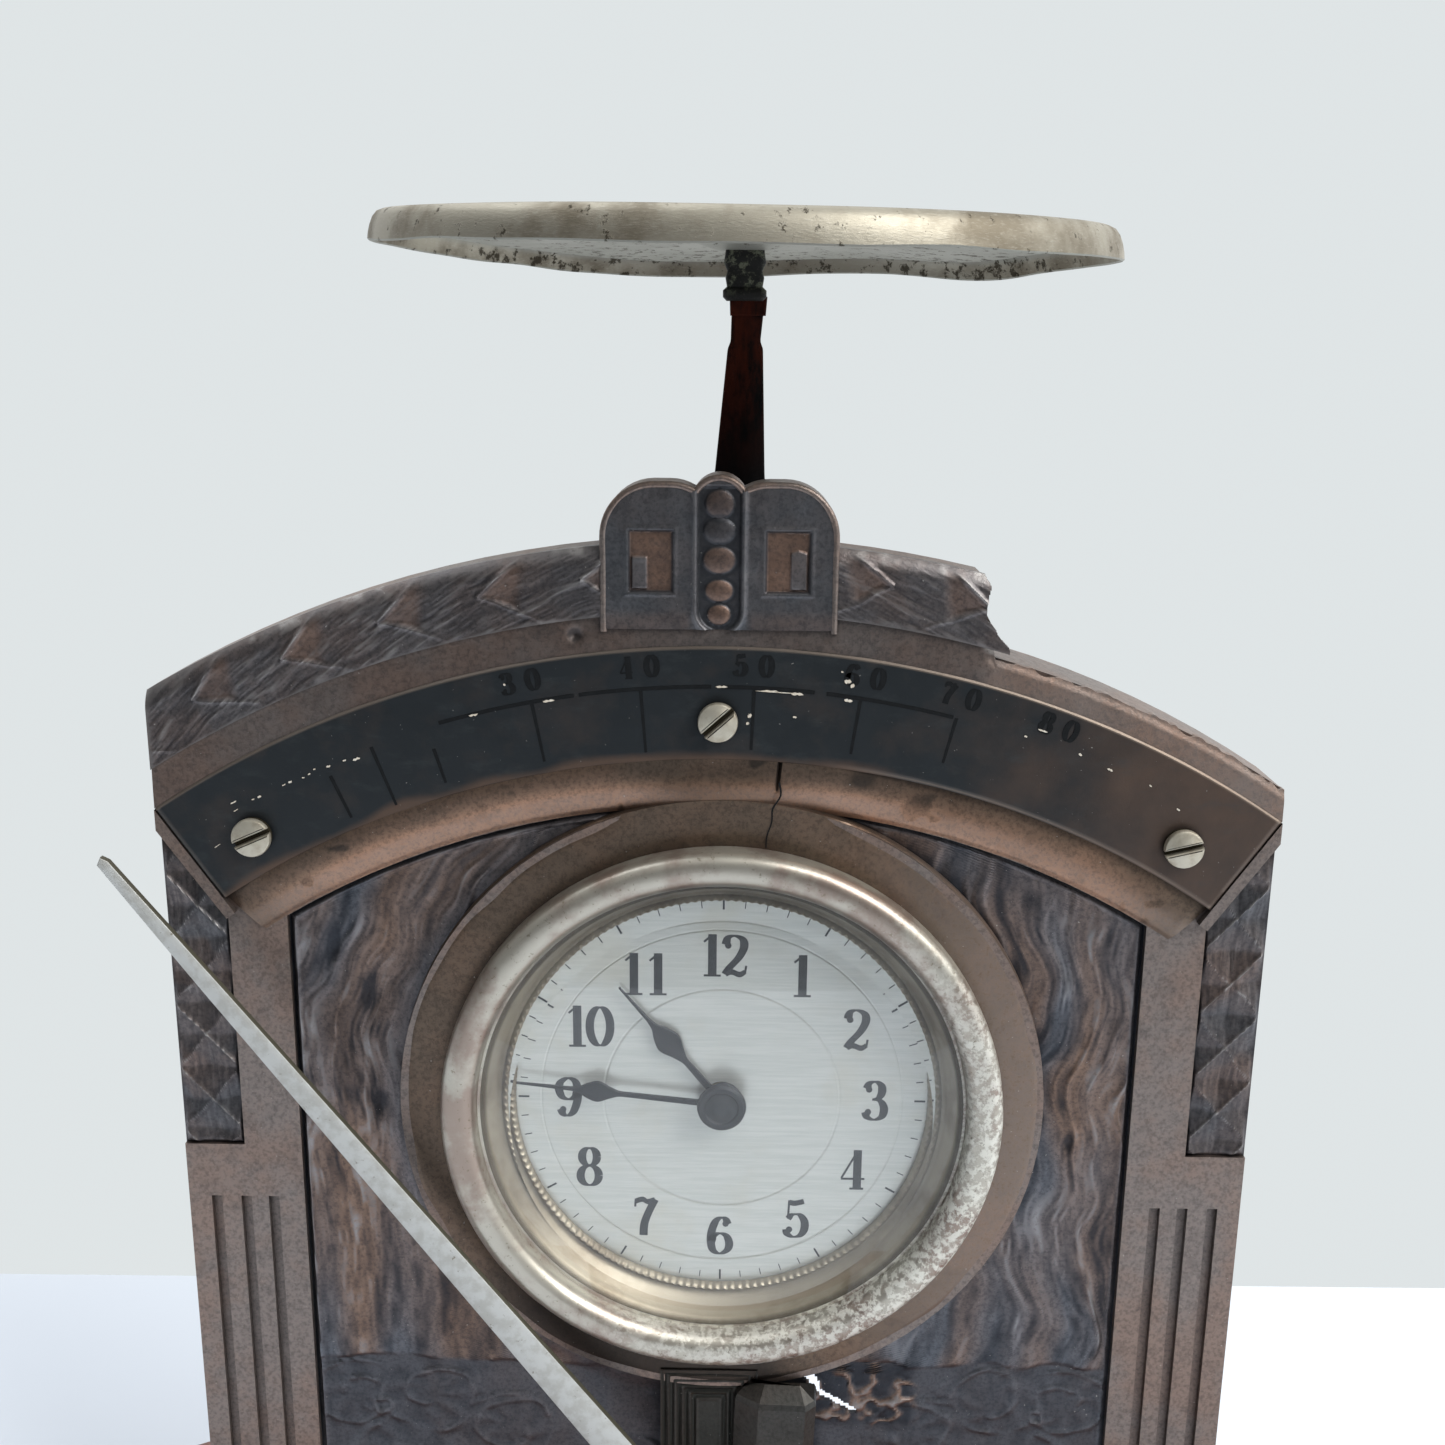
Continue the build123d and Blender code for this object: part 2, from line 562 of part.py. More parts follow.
def make_motion_wheel():
    wheel_phase = mesh_phase(0.0, 12, 0.0, 36)
    wheel = gear_face(36, MOTION_MODULE, wheel_phase) - Circle(0.6 + FIT)
    body = slab(Pos(MOTION_DISTANCE, CLOCK_Z) * wheel, CANNON_Y[0] + 0.2, CANNON_Y[1] - 0.2)
    pinion = gear_face(10, HOUR_MODULE, 0.0) - Circle(0.6 + FIT)
    return body + slab(Pos(MOTION_DISTANCE, CLOCK_Z) * pinion, HOUR_WHEEL_Y[0], CANNON_Y[0] + 0.2)


def make_motion_stud():
    return disc(0.6, MOTION_DISTANCE, CLOCK_Z, HOUR_WHEEL_Y[0], PLATE_A_Y)


def make_hour_wheel():
    phase = mesh_phase(0.0, 10, 180.0, 40)
    face = gear_face(40, HOUR_MODULE, phase) - Circle(1.3 + FIT)
    wheel = slab(Pos(0, CLOCK_Z) * face, *HOUR_WHEEL_Y)
    return wheel + ring(2.1, 1.3 + FIT, 0, CLOCK_Z, HOUR_HAND_Y + 0.4, HOUR_WHEEL_Y[0])


def make_set_pinion():
    wheel_phase = mesh_phase(0.0, 12, 0.0, 36)
    phase = mesh_phase(wheel_phase, 36, 0.0, 12)
    pinion = slab(Pos(SET_X, CLOCK_Z) * gear_face(12, MOTION_MODULE, phase), *CANNON_Y)
    return pinion + disc(ARBOR_CLOCK_R, SET_X, CLOCK_Z, CANNON_Y[1], COVER_Y + 5.0)


def make_set_knob():
    knob = disc(4.4, SET_X, CLOCK_Z, COVER_Y + 1.6, COVER_Y + 4.6)
    knob -= disc(ARBOR_CLOCK_R, SET_X, CLOCK_Z, COVER_Y + 1.6, COVER_Y + 4.6)
    for i in range(18):
        knob -= disc(0.35, *polar(4.5, i * 20, SET_X, CLOCK_Z), COVER_Y + 1.6, COVER_Y + 4.6)
    return knob


def hand(turns, length, bulb_at, bulb_r, hole, y):
    """Pear hand: a slim blade, a pear-shaped bulb and a pointed tip."""
    right = [(0.7, -5.5), (0.45, bulb_at - bulb_r), (bulb_r, bulb_at),
             (0.5, bulb_at + bulb_r * 1.9), (0.15, length)]
    left = [(-x, z) for x, z in reversed(right)]
    blade = polygon(right + left)
    face = blade + Circle(3.0) - Circle(hole)
    return slab(Pos(0, CLOCK_Z) * (Rot(0, 0, -360 * turns) * face), y, y + 0.4)


def make_hour_hand():
    return hand((HOUR + MINUTE / 60 - HOUR_LAG) / 12, 21.8, 11.6, 1.75, 1.3 + FIT, HOUR_HAND_Y)


def make_minute_hand():
    return hand(MINUTE / 60, 28.0, 17.6, 1.5, ARBOR_CLOCK_R, MINUTE_HAND_Y)


def make_hand_hub():
    return turned([(ARBOR_CLOCK_R, FRONT_Y - 0.4), (3.4, FRONT_Y - 0.4), (3.2, FRONT_Y - 0.9),
                   (2.1, FRONT_Y - 1.5), (0, FRONT_Y - 1.7), (0, FRONT_Y - 0.6),
                   (ARBOR_CLOCK_R, FRONT_Y - 0.6)], 0, CLOCK_Z)


# ---- weighing lever ----
def make_arbor():
    return disc(ARBOR_R, 0, PIVOT_Z, POINTER_Y - 0.5, BRACKET_Y + 3.5)


def make_pointer():
    tip = polar(POINTER_R, 90 + REST_ANGLE)
    ux, uz = tip[0] / POINTER_R, tip[1] / POINTER_R
    wide, narrow = 2.6, 0.6
    bar = polygon([(-uz * wide, ux * wide), (tip[0] - uz * narrow, tip[1] + ux * narrow),
                   (tip[0] + uz * narrow, tip[1] - ux * narrow), (uz * wide, -ux * wide)])
    face = bar + Circle(5.0) - Circle(ARBOR_R)
    return slab(Pos(0, PIVOT_Z) * face, POINTER_Y - 0.5, POINTER_Y + 0.5)


def make_pointer_hub():
    y = POINTER_Y + 0.5
    profile = [(ARBOR_R, y), (4.2, y), (4.2, y + 1.6), (3.0, y + 2.2), (3.0, y + 4.0),
               (ARBOR_R, y + 4.0)]
    return turned(profile, 0, PIVOT_Z)


def make_pointer_nut():
    y = POINTER_Y - 0.5
    profile = [(0, y), (4.4, y), (4.4, y - 0.9), (3.4, y - 2.0), (1.8, y - 2.7), (0, y - 2.9)]
    return turned(profile, 0, PIVOT_Z)


def pan_pivot(rise=0.0):
    return polar(PAN_ARM, PAN_ARM_ANGLE, 0, PIVOT_Z + rise)


def make_arm(rise, hole):
    x, z = pan_pivot(rise)
    arm = link(0, PIVOT_Z + rise, x, z, 3.6, 3.0, ARM_Y, ARM_Y + ARM_T)
    arm -= disc(hole, 0, PIVOT_Z + rise, ARM_Y, ARM_Y + ARM_T)
    return arm - disc(PIN_R, x, z, ARM_Y, ARM_Y + ARM_T)


def make_arm_pin(rise):
    x, z = pan_pivot(rise)
    pin = disc(PIN_R, x, z, STEM_Y - 0.4, ARM_Y + ARM_T)
    return pin + disc(2.0, x, z, STEM_Y - 1.2, STEM_Y - 0.4)


def make_lever_boss():
    return ring(4.5, ARBOR_R, 0, PIVOT_Z, ARM_Y + ARM_T, LEVER_ARM_Y)


def weight_place():
    return polar(WEIGHT_ARM, WEIGHT_ANGLE, 0, PIVOT_Z)


def make_weight_arm():
    x, z = weight_place()
    arm = link(0, PIVOT_Z, x, z, WEIGHT_ARM_HALF, WEIGHT_ARM_HALF, LEVER_ARM_Y, LEVER_ARM_Y + ARM_T)
    arm += disc(4.0, 0, PIVOT_Z, LEVER_ARM_Y, LEVER_ARM_Y + ARM_T)
    arm -= disc(ARBOR_R, 0, PIVOT_Z, LEVER_ARM_Y, LEVER_ARM_Y + ARM_T)
    return arm - disc(1.25, x, z, LEVER_ARM_Y, LEVER_ARM_Y + ARM_T)


def make_counterweight():
    x, z = weight_place()
    weight = turned([(0, 1.0), (WEIGHT_R - 0.8, 1.0), (WEIGHT_R, 1.8), (WEIGHT_R, LEVER_ARM_Y - 0.8),
                     (WEIGHT_R - 0.8, LEVER_ARM_Y), (0, LEVER_ARM_Y)], x, z)
    return weight - disc(1.25, x, z, LEVER_ARM_Y - 6, LEVER_ARM_Y)


def make_weight_screw():
    x, z = weight_place()
    y = LEVER_ARM_Y + ARM_T
    head = disc(2.4, x, z, y, y + 1.5) - block(x - 2.4, x + 2.4, y + 0.9, y + 1.5, z - 0.3, z + 0.3)
    return head + disc(1.25, x, z, LEVER_ARM_Y - 6, y)


# ---- pan and its stem ----
SOCKET_Z = CLOCK_Z + 108.0
PAN_BOSS_Z = PAN_TOP - 4.7     # underside of the pan's dished centre


def stem_tang():
    """Narrow tongue at the top of the stem that the socket fits over."""
    return block(PAN_X - 1.2, PAN_X + 1.2, STEM_Y, STEM_Y + STEM_T, SOCKET_Z, SOCKET_Z + 2.5)


def make_stem():
    """Tapered sheet: wide at the two pivots, slim behind the crest."""
    x = pan_pivot()[0]
    z = CLOCK_Z
    outline = polygon([(x - 6, PIVOT_Z + 0.5), (x + 6, PIVOT_Z + 0.5), (x + 6, PIVOT_Z + 37),
                       (6.1, z + 84), (5.5, z + 102.3), (5.2, z + 102.3), (5.7, SOCKET_Z), (1.1, SOCKET_Z),
                       (1.0, z + 102.3), (0.7, z + 102.3), (-1.1, z + 84), (x - 6, PIVOT_Z + 37)])
    stem = slab(outline, STEM_Y, STEM_Y + STEM_T)
    for rise in (0, GUIDE_RISE):
        stem -= disc(PIN_R + FIT, *pan_pivot(rise), STEM_Y, STEM_Y + STEM_T)
    return stem + stem_tang()


def make_socket():
    socket = Pos(PAN_X, PAN_Y, (SOCKET_Z + PAN_BOSS_Z) / 2) * Box(6.1, 5.0, PAN_BOSS_Z - SOCKET_Z)
    hole = Pos(PAN_X, PAN_Y, PAN_BOSS_Z - 0.6) * Cylinder(1.25, 1.2)
    return socket - stem_tang() - hole


def make_pan():
    """Shallow sheet dish with a turned-down rim and a dished centre for its screw."""
    top = PAN_TOP - PAN_DEPTH
    t = PAN_SHEET
    bottom = PAN_TOP - PAN_RIM
    outer = [(2.0, PAN_BOSS_Z), (4.2, PAN_BOSS_Z), (8.5, top - t), (PAN_R - 5, top - t),
             (PAN_R - 2.5, PAN_TOP - t), (PAN_R - 1.2, PAN_TOP - 1.2), (PAN_R - t, bottom),
             (PAN_R, bottom), (PAN_R - 0.6, PAN_TOP - 1.0), (PAN_R - 2.0, PAN_TOP),
             (PAN_R - 3.0, PAN_TOP), (PAN_R - 5, top),
             (8.5, top), (4.2, PAN_BOSS_Z + t), (2.0, PAN_BOSS_Z + t)]
    face = make_face(Polyline(*[(r, 0, z) for r, z in outer], close=True))
    return Pos(PAN_X, PAN_Y, 0) * revolve(face, Axis.Z)


def make_pan_screw():
    z = PAN_BOSS_Z + PAN_SHEET
    head = Pos(PAN_X, PAN_Y, z + 0.7) * Cylinder(3.0, 1.4) - Pos(PAN_X, PAN_Y, z + 1.2) * Box(6, 0.7, 0.5)
    return head + Pos(PAN_X, PAN_Y, (z + PAN_BOSS_Z - 1.2) / 2) * Cylinder(1.2, z - PAN_BOSS_Z + 1.2)


STAND_AND_LEVER = {
    "base_slab": make_base,
    "base_felt": make_felt,
    "front_casting": make_casting,
    "casting_screws": make_casting_screws,
    "number_plate": make_number_plate,
    "number_plate_screws": make_number_screws,
    "arbor_front_bush": lambda: make_bush(FRONT_Y, BACK_Y, 4.0, (BACK_Y, BACK_Y + 1.0)),
    "bearing_bracket": make_bracket,
    "bracket_screws": make_bracket_screws,
    "arbor_rear_bush": lambda: make_bush(BRACKET_Y, BRACKET_Y + 2, 3.0, (BRACKET_Y + 2, BRACKET_Y + 2.8)),
    "guide_stud": lambda: disc(ARBOR_R, 0, PIVOT_Z + GUIDE_RISE, ARM_Y - 0.1, BRACKET_Y + 2),
    "lever_stop_pin": lambda: disc(PIN_R, *stop_place(), LEVER_ARM_Y + 0.2, BRACKET_Y + 2),
    "pointer_arbor": make_arbor,
    "pointer": make_pointer,
    "pointer_hub": make_pointer_hub,
    "pointer_nut": make_pointer_nut,
    "pan_arm": lambda: make_arm(0.0, ARBOR_R),
    "pan_arm_pin": lambda: make_arm_pin(0.0),
    "lever_boss": make_lever_boss,
    "weight_arm": make_weight_arm,
    "counterweight": make_counterweight,
    "weight_screw": make_weight_screw,
    "guide_arm": lambda: make_arm(GUIDE_RISE, ARBOR_R + FIT),
    "guide_arm_pin": lambda: make_arm_pin(GUIDE_RISE),
    "pan_stem": make_stem,
    "stem_socket": make_socket,
    "weighing_pan": make_pan,
    "pan_screw": make_pan_screw,
}

# Drawn about x = 0 and moved together to the clock's own centre line.
CLOCK = {
    "clock_drum": make_drum,
    "clock_bezel": make_bezel,
    "clock_glass": make_glass,
    "clock_sight_ring": make_sight_ring,
    "clock_dial": make_dial,
    "clock_back_cover": make_back_cover,
    "back_cover_screws": make_cover_screws,
    "clock_clamps": make_clamps,
    "clamp_screws": make_clamp_screws,
    "movement_front_plate": make_movement_front,
    "movement_back_plate": make_movement_back,
    "movement_pillars": make_pillars,
    "motion_wheel_stud": make_motion_stud,
    "balance_cock": make_balance_cock,
    "centre_wheel": make_centre_wheel,
    "cannon_pinion": make_cannon,
    "minute_hand": make_minute_hand,
    "hand_hub": make_hand_hub,
    "motion_wheel": make_motion_wheel,
    "hour_wheel": make_hour_wheel,
    "hour_hand": make_hour_hand,
    "set_pinion": make_set_pinion,
    "set_knob": make_set_knob,
    "mainspring_barrel": make_barrel,
    "mainspring": make_mainspring,
    "third_wheel": make_third_wheel,
    "barrel_arbor": make_key_arbor,
    "winding_key": make_key,
    "balance_wheel": make_balance,
    "regulator_lever": make_regulator,
}


def write(name, shape, shift):
    """One node from a solid or from a list of identical fasteners."""
    solids = shape if isinstance(shape, list) else [shape]
    solids = [Pos(shift, 0, 0) * solid for solid in solids]
    node = solids[0] if len(solids) == 1 else Compound(children=solids)
    export_step(node, "parts/" + name + ".step")


def main():
    os.makedirs("parts", exist_ok=True)
    for name, make in STAND_AND_LEVER.items():
        write(name, make(), 0.0)
    for name, make in CLOCK.items():
        write(name, make(), CLOCK_X)
    print("wrote", len(STAND_AND_LEVER) + len(CLOCK), "sub-parts")


main()
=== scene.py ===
import math

import bmesh
import bpy
import numpy as np
from mathutils import Matrix, Vector


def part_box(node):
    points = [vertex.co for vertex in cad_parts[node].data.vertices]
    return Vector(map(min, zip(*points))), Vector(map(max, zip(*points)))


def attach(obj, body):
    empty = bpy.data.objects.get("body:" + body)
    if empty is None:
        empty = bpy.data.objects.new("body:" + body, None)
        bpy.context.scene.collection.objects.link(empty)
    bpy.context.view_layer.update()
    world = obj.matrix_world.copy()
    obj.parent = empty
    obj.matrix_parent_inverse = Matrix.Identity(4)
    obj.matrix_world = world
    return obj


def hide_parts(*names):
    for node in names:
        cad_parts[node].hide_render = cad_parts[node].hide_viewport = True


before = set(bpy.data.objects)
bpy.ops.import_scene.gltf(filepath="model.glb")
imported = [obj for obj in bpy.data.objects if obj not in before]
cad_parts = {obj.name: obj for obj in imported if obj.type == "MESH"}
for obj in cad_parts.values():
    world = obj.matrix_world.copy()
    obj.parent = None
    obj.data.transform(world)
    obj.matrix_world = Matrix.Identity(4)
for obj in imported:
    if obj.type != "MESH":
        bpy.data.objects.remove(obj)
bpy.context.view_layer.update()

# Letter scale with a clock. All sizes below are millimetres. A place in front view is given from the
# casting's centre line and the clock's height, and depth is measured back from the number plate's rear face.
MM = 0.001


def middle(node):
    low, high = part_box(node)
    return (low + high) / 2 / MM


CLOCK_X, CLOCK_Z = middle("clock_bezel").x, middle("clock_bezel").z
PIVOT_Z = middle("pointer_arbor").z
FRONT_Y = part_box("number_plate")[1].y / MM
DROP = CLOCK_Z - PIVOT_Z
BASE_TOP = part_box("base_slab")[1].z / MM - CLOCK_Z
HALF_W = (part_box("front_casting")[1].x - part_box("front_casting")[0].x) / 2 / MM
BOSS_R = 44.3
# Radii about the pointer arbor: the panels' top, the number plate and the ornament band.
PANEL_R = 111.3
PLATE_IN, PLATE_OUT = 118.0, 133.0
BAND_IN, BAND_OUT = 137.5, 146.5
PLATE_END = 34.0  # degrees from the middle of the plate to its ends
# The flowing panels and the side lattices, as distances from the casting's centre line and heights.
PANEL_HALF, PANEL_LOW, PANEL_HIGH, PANEL_GAP = 58.0, -88.0, 42.4, 7.2
LATTICE_IN, LATTICE_LOW = 66.0, -7.6
# The time shown. The hour hand stands a tenth of an hour behind its right place.
HOUR, MINUTE, HOUR_LAG = 10, 46, 0.1


def front_of(node):
    """Depth of a CAD node's front."""
    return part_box(node)[0].y / MM - FRONT_Y


def back_of(node):
    """Depth of a CAD node's back."""
    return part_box(node)[1].y / MM - FRONT_Y


def at(x, depth, z):
    """Row-frame metres from a place in front view, for numbers or arrays."""
    x, depth, z = np.broadcast_arrays(x, depth, z)
    return np.stack([x, depth + FRONT_Y, z + CLOCK_Z], axis=-1) * MM


# ---------------------------------------------------------------- shape helpers
def noise(x, z, size, seed):
    """Smooth value noise from -1 to 1."""
    table = np.random.default_rng(seed).uniform(-1, 1, (64, 64))
    u, v = x / size + 640.0, z / size + 640.0
    i, j = np.floor(u).astype(int), np.floor(v).astype(int)
    fu, fv = u - i, v - j
    fu, fv = fu * fu * (3 - 2 * fu), fv * fv * (3 - 2 * fv)

    def corner(di, dj):
        return table[(i + di) % 64, (j + dj) % 64]

    low = corner(0, 0) * (1 - fu) + corner(1, 0) * fu
    high = corner(0, 1) * (1 - fu) + corner(1, 1) * fu
    return low * (1 - fv) + high * fv


def ease(value, start, end):
    """Smooth step from 0 at start to 1 at end."""
    t = np.clip((value - start) / (end - start), 0, 1)
    return t * t * (3 - 2 * t)


def ridge(distance, width):
    return np.exp(-(distance / width) ** 2)


def ellipse_gap(x, z, x0, z0, wide, tall):
    """Distance from a centre, 1 on an ellipse of the given half width and half height."""
    return np.hypot((x - x0) / wide, (z - z0) / tall)


def to_line(x, z, x0, z0, x1, z1):
    """Distance from places to a straight stretch."""
    dx, dz = x1 - x0, z1 - z0
    t = np.clip(((x - x0) * dx + (z - z0) * dz) / (dx * dx + dz * dz), 0, 1)
    return np.hypot(x - x0 - t * dx, z - z0 - t * dz)


def smooth_path(points, steps):
    """Catmull-Rom curve through the points."""
    p = np.asarray(points, float)
    last = len(p) - 1
    path = []
    for i in range(last):
        a, b, c, d = (p[min(max(i + k, 0), last)] for k in (-1, 0, 1, 2))
        for t in np.linspace(0, 1, steps, endpoint=False):
            path.append(0.5 * (2 * b + (c - a) * t + (2 * a - 5 * b + 4 * c - d) * t ** 2
                               + (3 * b - a - 3 * c + d) * t ** 3))
    path.append(p[-1])
    return np.array(path)


def layer(mesh, name, values):
    """Give each point of a mesh a number that a material reads."""
    points = mesh.attributes.new(name, "FLOAT", "POINT")
    points.data.foreach_set("value", np.asarray(values, np.float32))


def make_piece(name, points, faces, material, body="stand", slot="copper_patina", replaces=(),
               sharp=35.0, attributes=None):
    """Mesh object that rides on a body, with its normals turned outwards."""
    mesh = bpy.data.meshes.new(name)
    mesh.from_pydata([tuple(p) for p in points], [], faces)
    for key, values in (attributes or {}).items():
        layer(mesh, key, values)
    work = bmesh.new()
    work.from_mesh(mesh)
    bmesh.ops.remove_doubles(work, verts=work.verts, dist=1e-7)
    bmesh.ops.recalc_face_normals(work, faces=work.faces)
    work.to_mesh(mesh)
    work.free()
    mesh.shade_smooth()
    mesh.set_sharp_from_angle(angle=math.radians(sharp))
    mesh.materials.append(material)
    piece = bpy.data.objects.new(name, mesh)
    bpy.context.scene.collection.objects.link(piece)
    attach(piece, body)
    if replaces:
        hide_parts(*replaces)
    return piece


def relief(name, edge_a, edge_b, rows, columns, shape, material, back=0.8, keep=None, **where):
    """Closed relief sheet ruled from edge_a to edge_b, both curves in front view of t from 0 to 1.

    shape(x, z) gives its height in front of the casting and a dictionary of point attributes.
    """
    t, s = np.meshgrid(np.linspace(0, 1, rows), np.linspace(0, 1, columns), indexing="ij")
    (ax, az), (bx, bz) = edge_a(t), edge_b(t)
    x, z = ax + (bx - ax) * s, az + (bz - az) * s
    height, attributes = shape(x, z)
    cells = np.zeros((rows + 1, columns + 1), bool)
    cells[1:-1, 1:-1] = True
    if keep is not None:
        mid = (x[1:, 1:] + x[:-1, :-1]) / 2, (z[1:, 1:] + z[:-1, :-1]) / 2
        cells[1:-1, 1:-1] = keep(*mid)
    total = rows * columns
    index = np.arange(total).reshape(rows, columns)
    quad = np.stack([index[:-1, :-1], index[1:, :-1], index[1:, 1:], index[:-1, 1:]], -1)
    quad = quad[cells[1:-1, 1:-1]]
    faces = [quad, quad[:, ::-1] + total]
    across = cells[1:-1, 1:] != cells[1:-1, :-1]
    along = cells[1:, 1:-1] != cells[:-1, 1:-1]
    for edge, a, b in ((across, index[:-1, :], index[1:, :]), (along, index[:, :-1], index[:, 1:])):
        a, b = a[edge], b[edge]
        faces.append(np.stack([a, b, b + total, a + total], -1))
    faces = np.concatenate(faces)
    points = np.concatenate([at(x, -height, z).reshape(-1, 3), at(x, back, z).reshape(-1, 3)])
    used, faces = np.unique(faces, return_inverse=True)
    faces = faces.reshape(-1, 4)
    layers = {key: np.tile(np.broadcast_to(value, x.shape).ravel(), 2)[used]
              for key, value in attributes.items()}
    return make_piece(name, points[used], faces.tolist(), material, attributes=layers, **where)


def arch(radius, x0, x1):
    """Arc about the pointer arbor, from x0 to x1."""
    def curve(t):
        x = x0 + (x1 - x0) * t
        r = radius(x) if callable(radius) else radius
        return x, np.sqrt(r * r - x * x) - DROP
    return curve


def swing(radius, start, end):
    """Arc about the pointer arbor, from one angle to another, clockwise from vertical."""
    return lambda t: about_arbor(radius, start + (end - start) * t)


def about_arbor(radius, angle):
    """Front-view place at a radius and clockwise angle in degrees about the pointer arbor."""
    a = np.radians(angle)
    return radius * np.sin(a), radius * np.cos(a) - DROP


def about_clock(radius, angle):
    """Front-view place at a radius and clockwise angle in degrees about the dial's centre."""
    a = np.radians(angle)
    return CLOCK_X + radius * np.sin(a), radius * np.cos(a)


def arc_place(x, z):
    """Radius about the pointer arbor and clockwise angle in degrees."""
    return np.hypot(x, z + DROP), np.degrees(np.arctan2(x, z + DROP))


def inset(outline, distance):
    """Closed anticlockwise outline moved inwards with mitred corners."""
    step = np.roll(outline, -1, 0) - outline
    step = step / np.linalg.norm(step, axis=1)[:, None]
    inward = np.stack([-step[:, 1], step[:, 0]], 1)
    both = inward + np.roll(inward, 1, 0)
    both = both / np.linalg.norm(both, axis=1)[:, None]
    reach = np.maximum((both * inward).sum(1), 0.5)
    return outline + both * (distance / reach)[:, None]


def front_view(a, b, depth):
    return at(a, depth, b)


def plan_view(a, b, depth):
    """Outline seen from above in row-frame millimetres, built up along Z."""
    return np.stack(np.broadcast_arrays(a, b, depth), -1) * MM


def loft(name, outline, profile, material, place=front_view, **where):
    """Capped solid: each profile step draws the outline in by an inset at a depth."""
    outline = np.asarray(outline, float)
    area = np.cross(outline, np.roll(outline, -1, 0)).sum()
    if area < 0:
        outline = outline[::-1]
    count = len(outline)
    points = []
    for distance, depth in profile:
        ring = inset(outline, distance)
        points.append(place(ring[:, 0], ring[:, 1], depth))
    faces = [list(range(count)), list(range((len(profile) - 1) * count, len(profile) * count))]
    for k in range(len(profile) - 1):
        for i in range(count):
            j = (i + 1) % count
            faces.append([k * count + i, k * count + j, (k + 1) * count + j, (k + 1) * count + i])
    return make_piece(name, np.concatenate(points), faces, material, **where)


def lathe(name, profile, x, z, material, segments=128, upright=False, shift=None, **where):
    """Solid of revolution from (radius, depth) points, about a line along Y.

    An upright one turns about a line along Z instead, and z is then the line's place along Y.
    """
    profile = np.asarray(profile, float)
    angle = np.linspace(0, 2 * math.pi, segments, endpoint=False)[None, :]
    radius, depth = profile[:, :1] + 0 * angle, profile[:, 1:] + 0 * angle
    if shift is not None:
        radius, depth = shift(angle + 0 * radius, radius, depth)
    if upright:
        points = plan_view(x + radius * np.cos(angle), z + radius * np.sin(angle), depth)
    else:
        points = at(x + radius * np.cos(angle), depth, z + radius * np.sin(angle))
    rings = len(profile)
    closed = profile[0, 0] > 0
    faces = []
    for k in range(rings if closed else rings - 1):
        n = (k + 1) % rings
        for i in range(segments):
            j = (i + 1) % segments
            faces.append([k * segments + i, k * segments + j, n * segments + j, n * segments + i])
    return make_piece(name, points.reshape(-1, 3), faces, material, **where)


def rounded(corners, radius, steps=6):
    """Closed outline with its corners rounded."""
    corners = np.asarray(corners, float)
    outline = []
    for i, corner in enumerate(corners):
        before = corners[i - 1] - corner
        after = corners[(i + 1) % len(corners)] - corner
        r = min(radius, np.linalg.norm(before) * 0.48, np.linalg.norm(after) * 0.48)
        a = corner + before / np.linalg.norm(before) * r
        b = corner + after / np.linalg.norm(after) * r
        for t in np.linspace(0, 1, steps):
            outline.append((1 - t) ** 2 * a + 2 * t * (1 - t) * corner + t * t * b)
    return np.array(outline)


def box_outline(x0, x1, z0, z1):
    return [(x0, z0), (x1, z0), (x1, z1), (x0, z1)]


def tube(name, path, radius, material, sides=12, **where):
    """Closed round bar along a front-view path of (x, depth, z) points."""
    path = np.asarray(path, float)
    run = np.gradient(path, axis=0)
    run /= np.linalg.norm(run, axis=1)[:, None]
    side = np.cross(run, (0, 1, 0))
    side /= np.linalg.norm(side, axis=1)[:, None]
    out = np.cross(side, run)
    angle = np.linspace(0, 2 * math.pi, sides, endpoint=False)[:, None]
    points = np.concatenate([centre + radius * (np.cos(angle) * a + np.sin(angle) * b)
                             for centre, a, b in zip(path, side, out)])
    faces = [list(range(sides)), list(range(len(points) - sides, len(points)))]
    for k in range(0, len(points) - sides, sides):
        for i in range(sides):
            j = (i + 1) % sides
            faces.append([k + i, k + j, k + sides + j, k + sides + i])
    return make_piece(name, at(points[:, 0], points[:, 1], points[:, 2]), faces, material, **where)


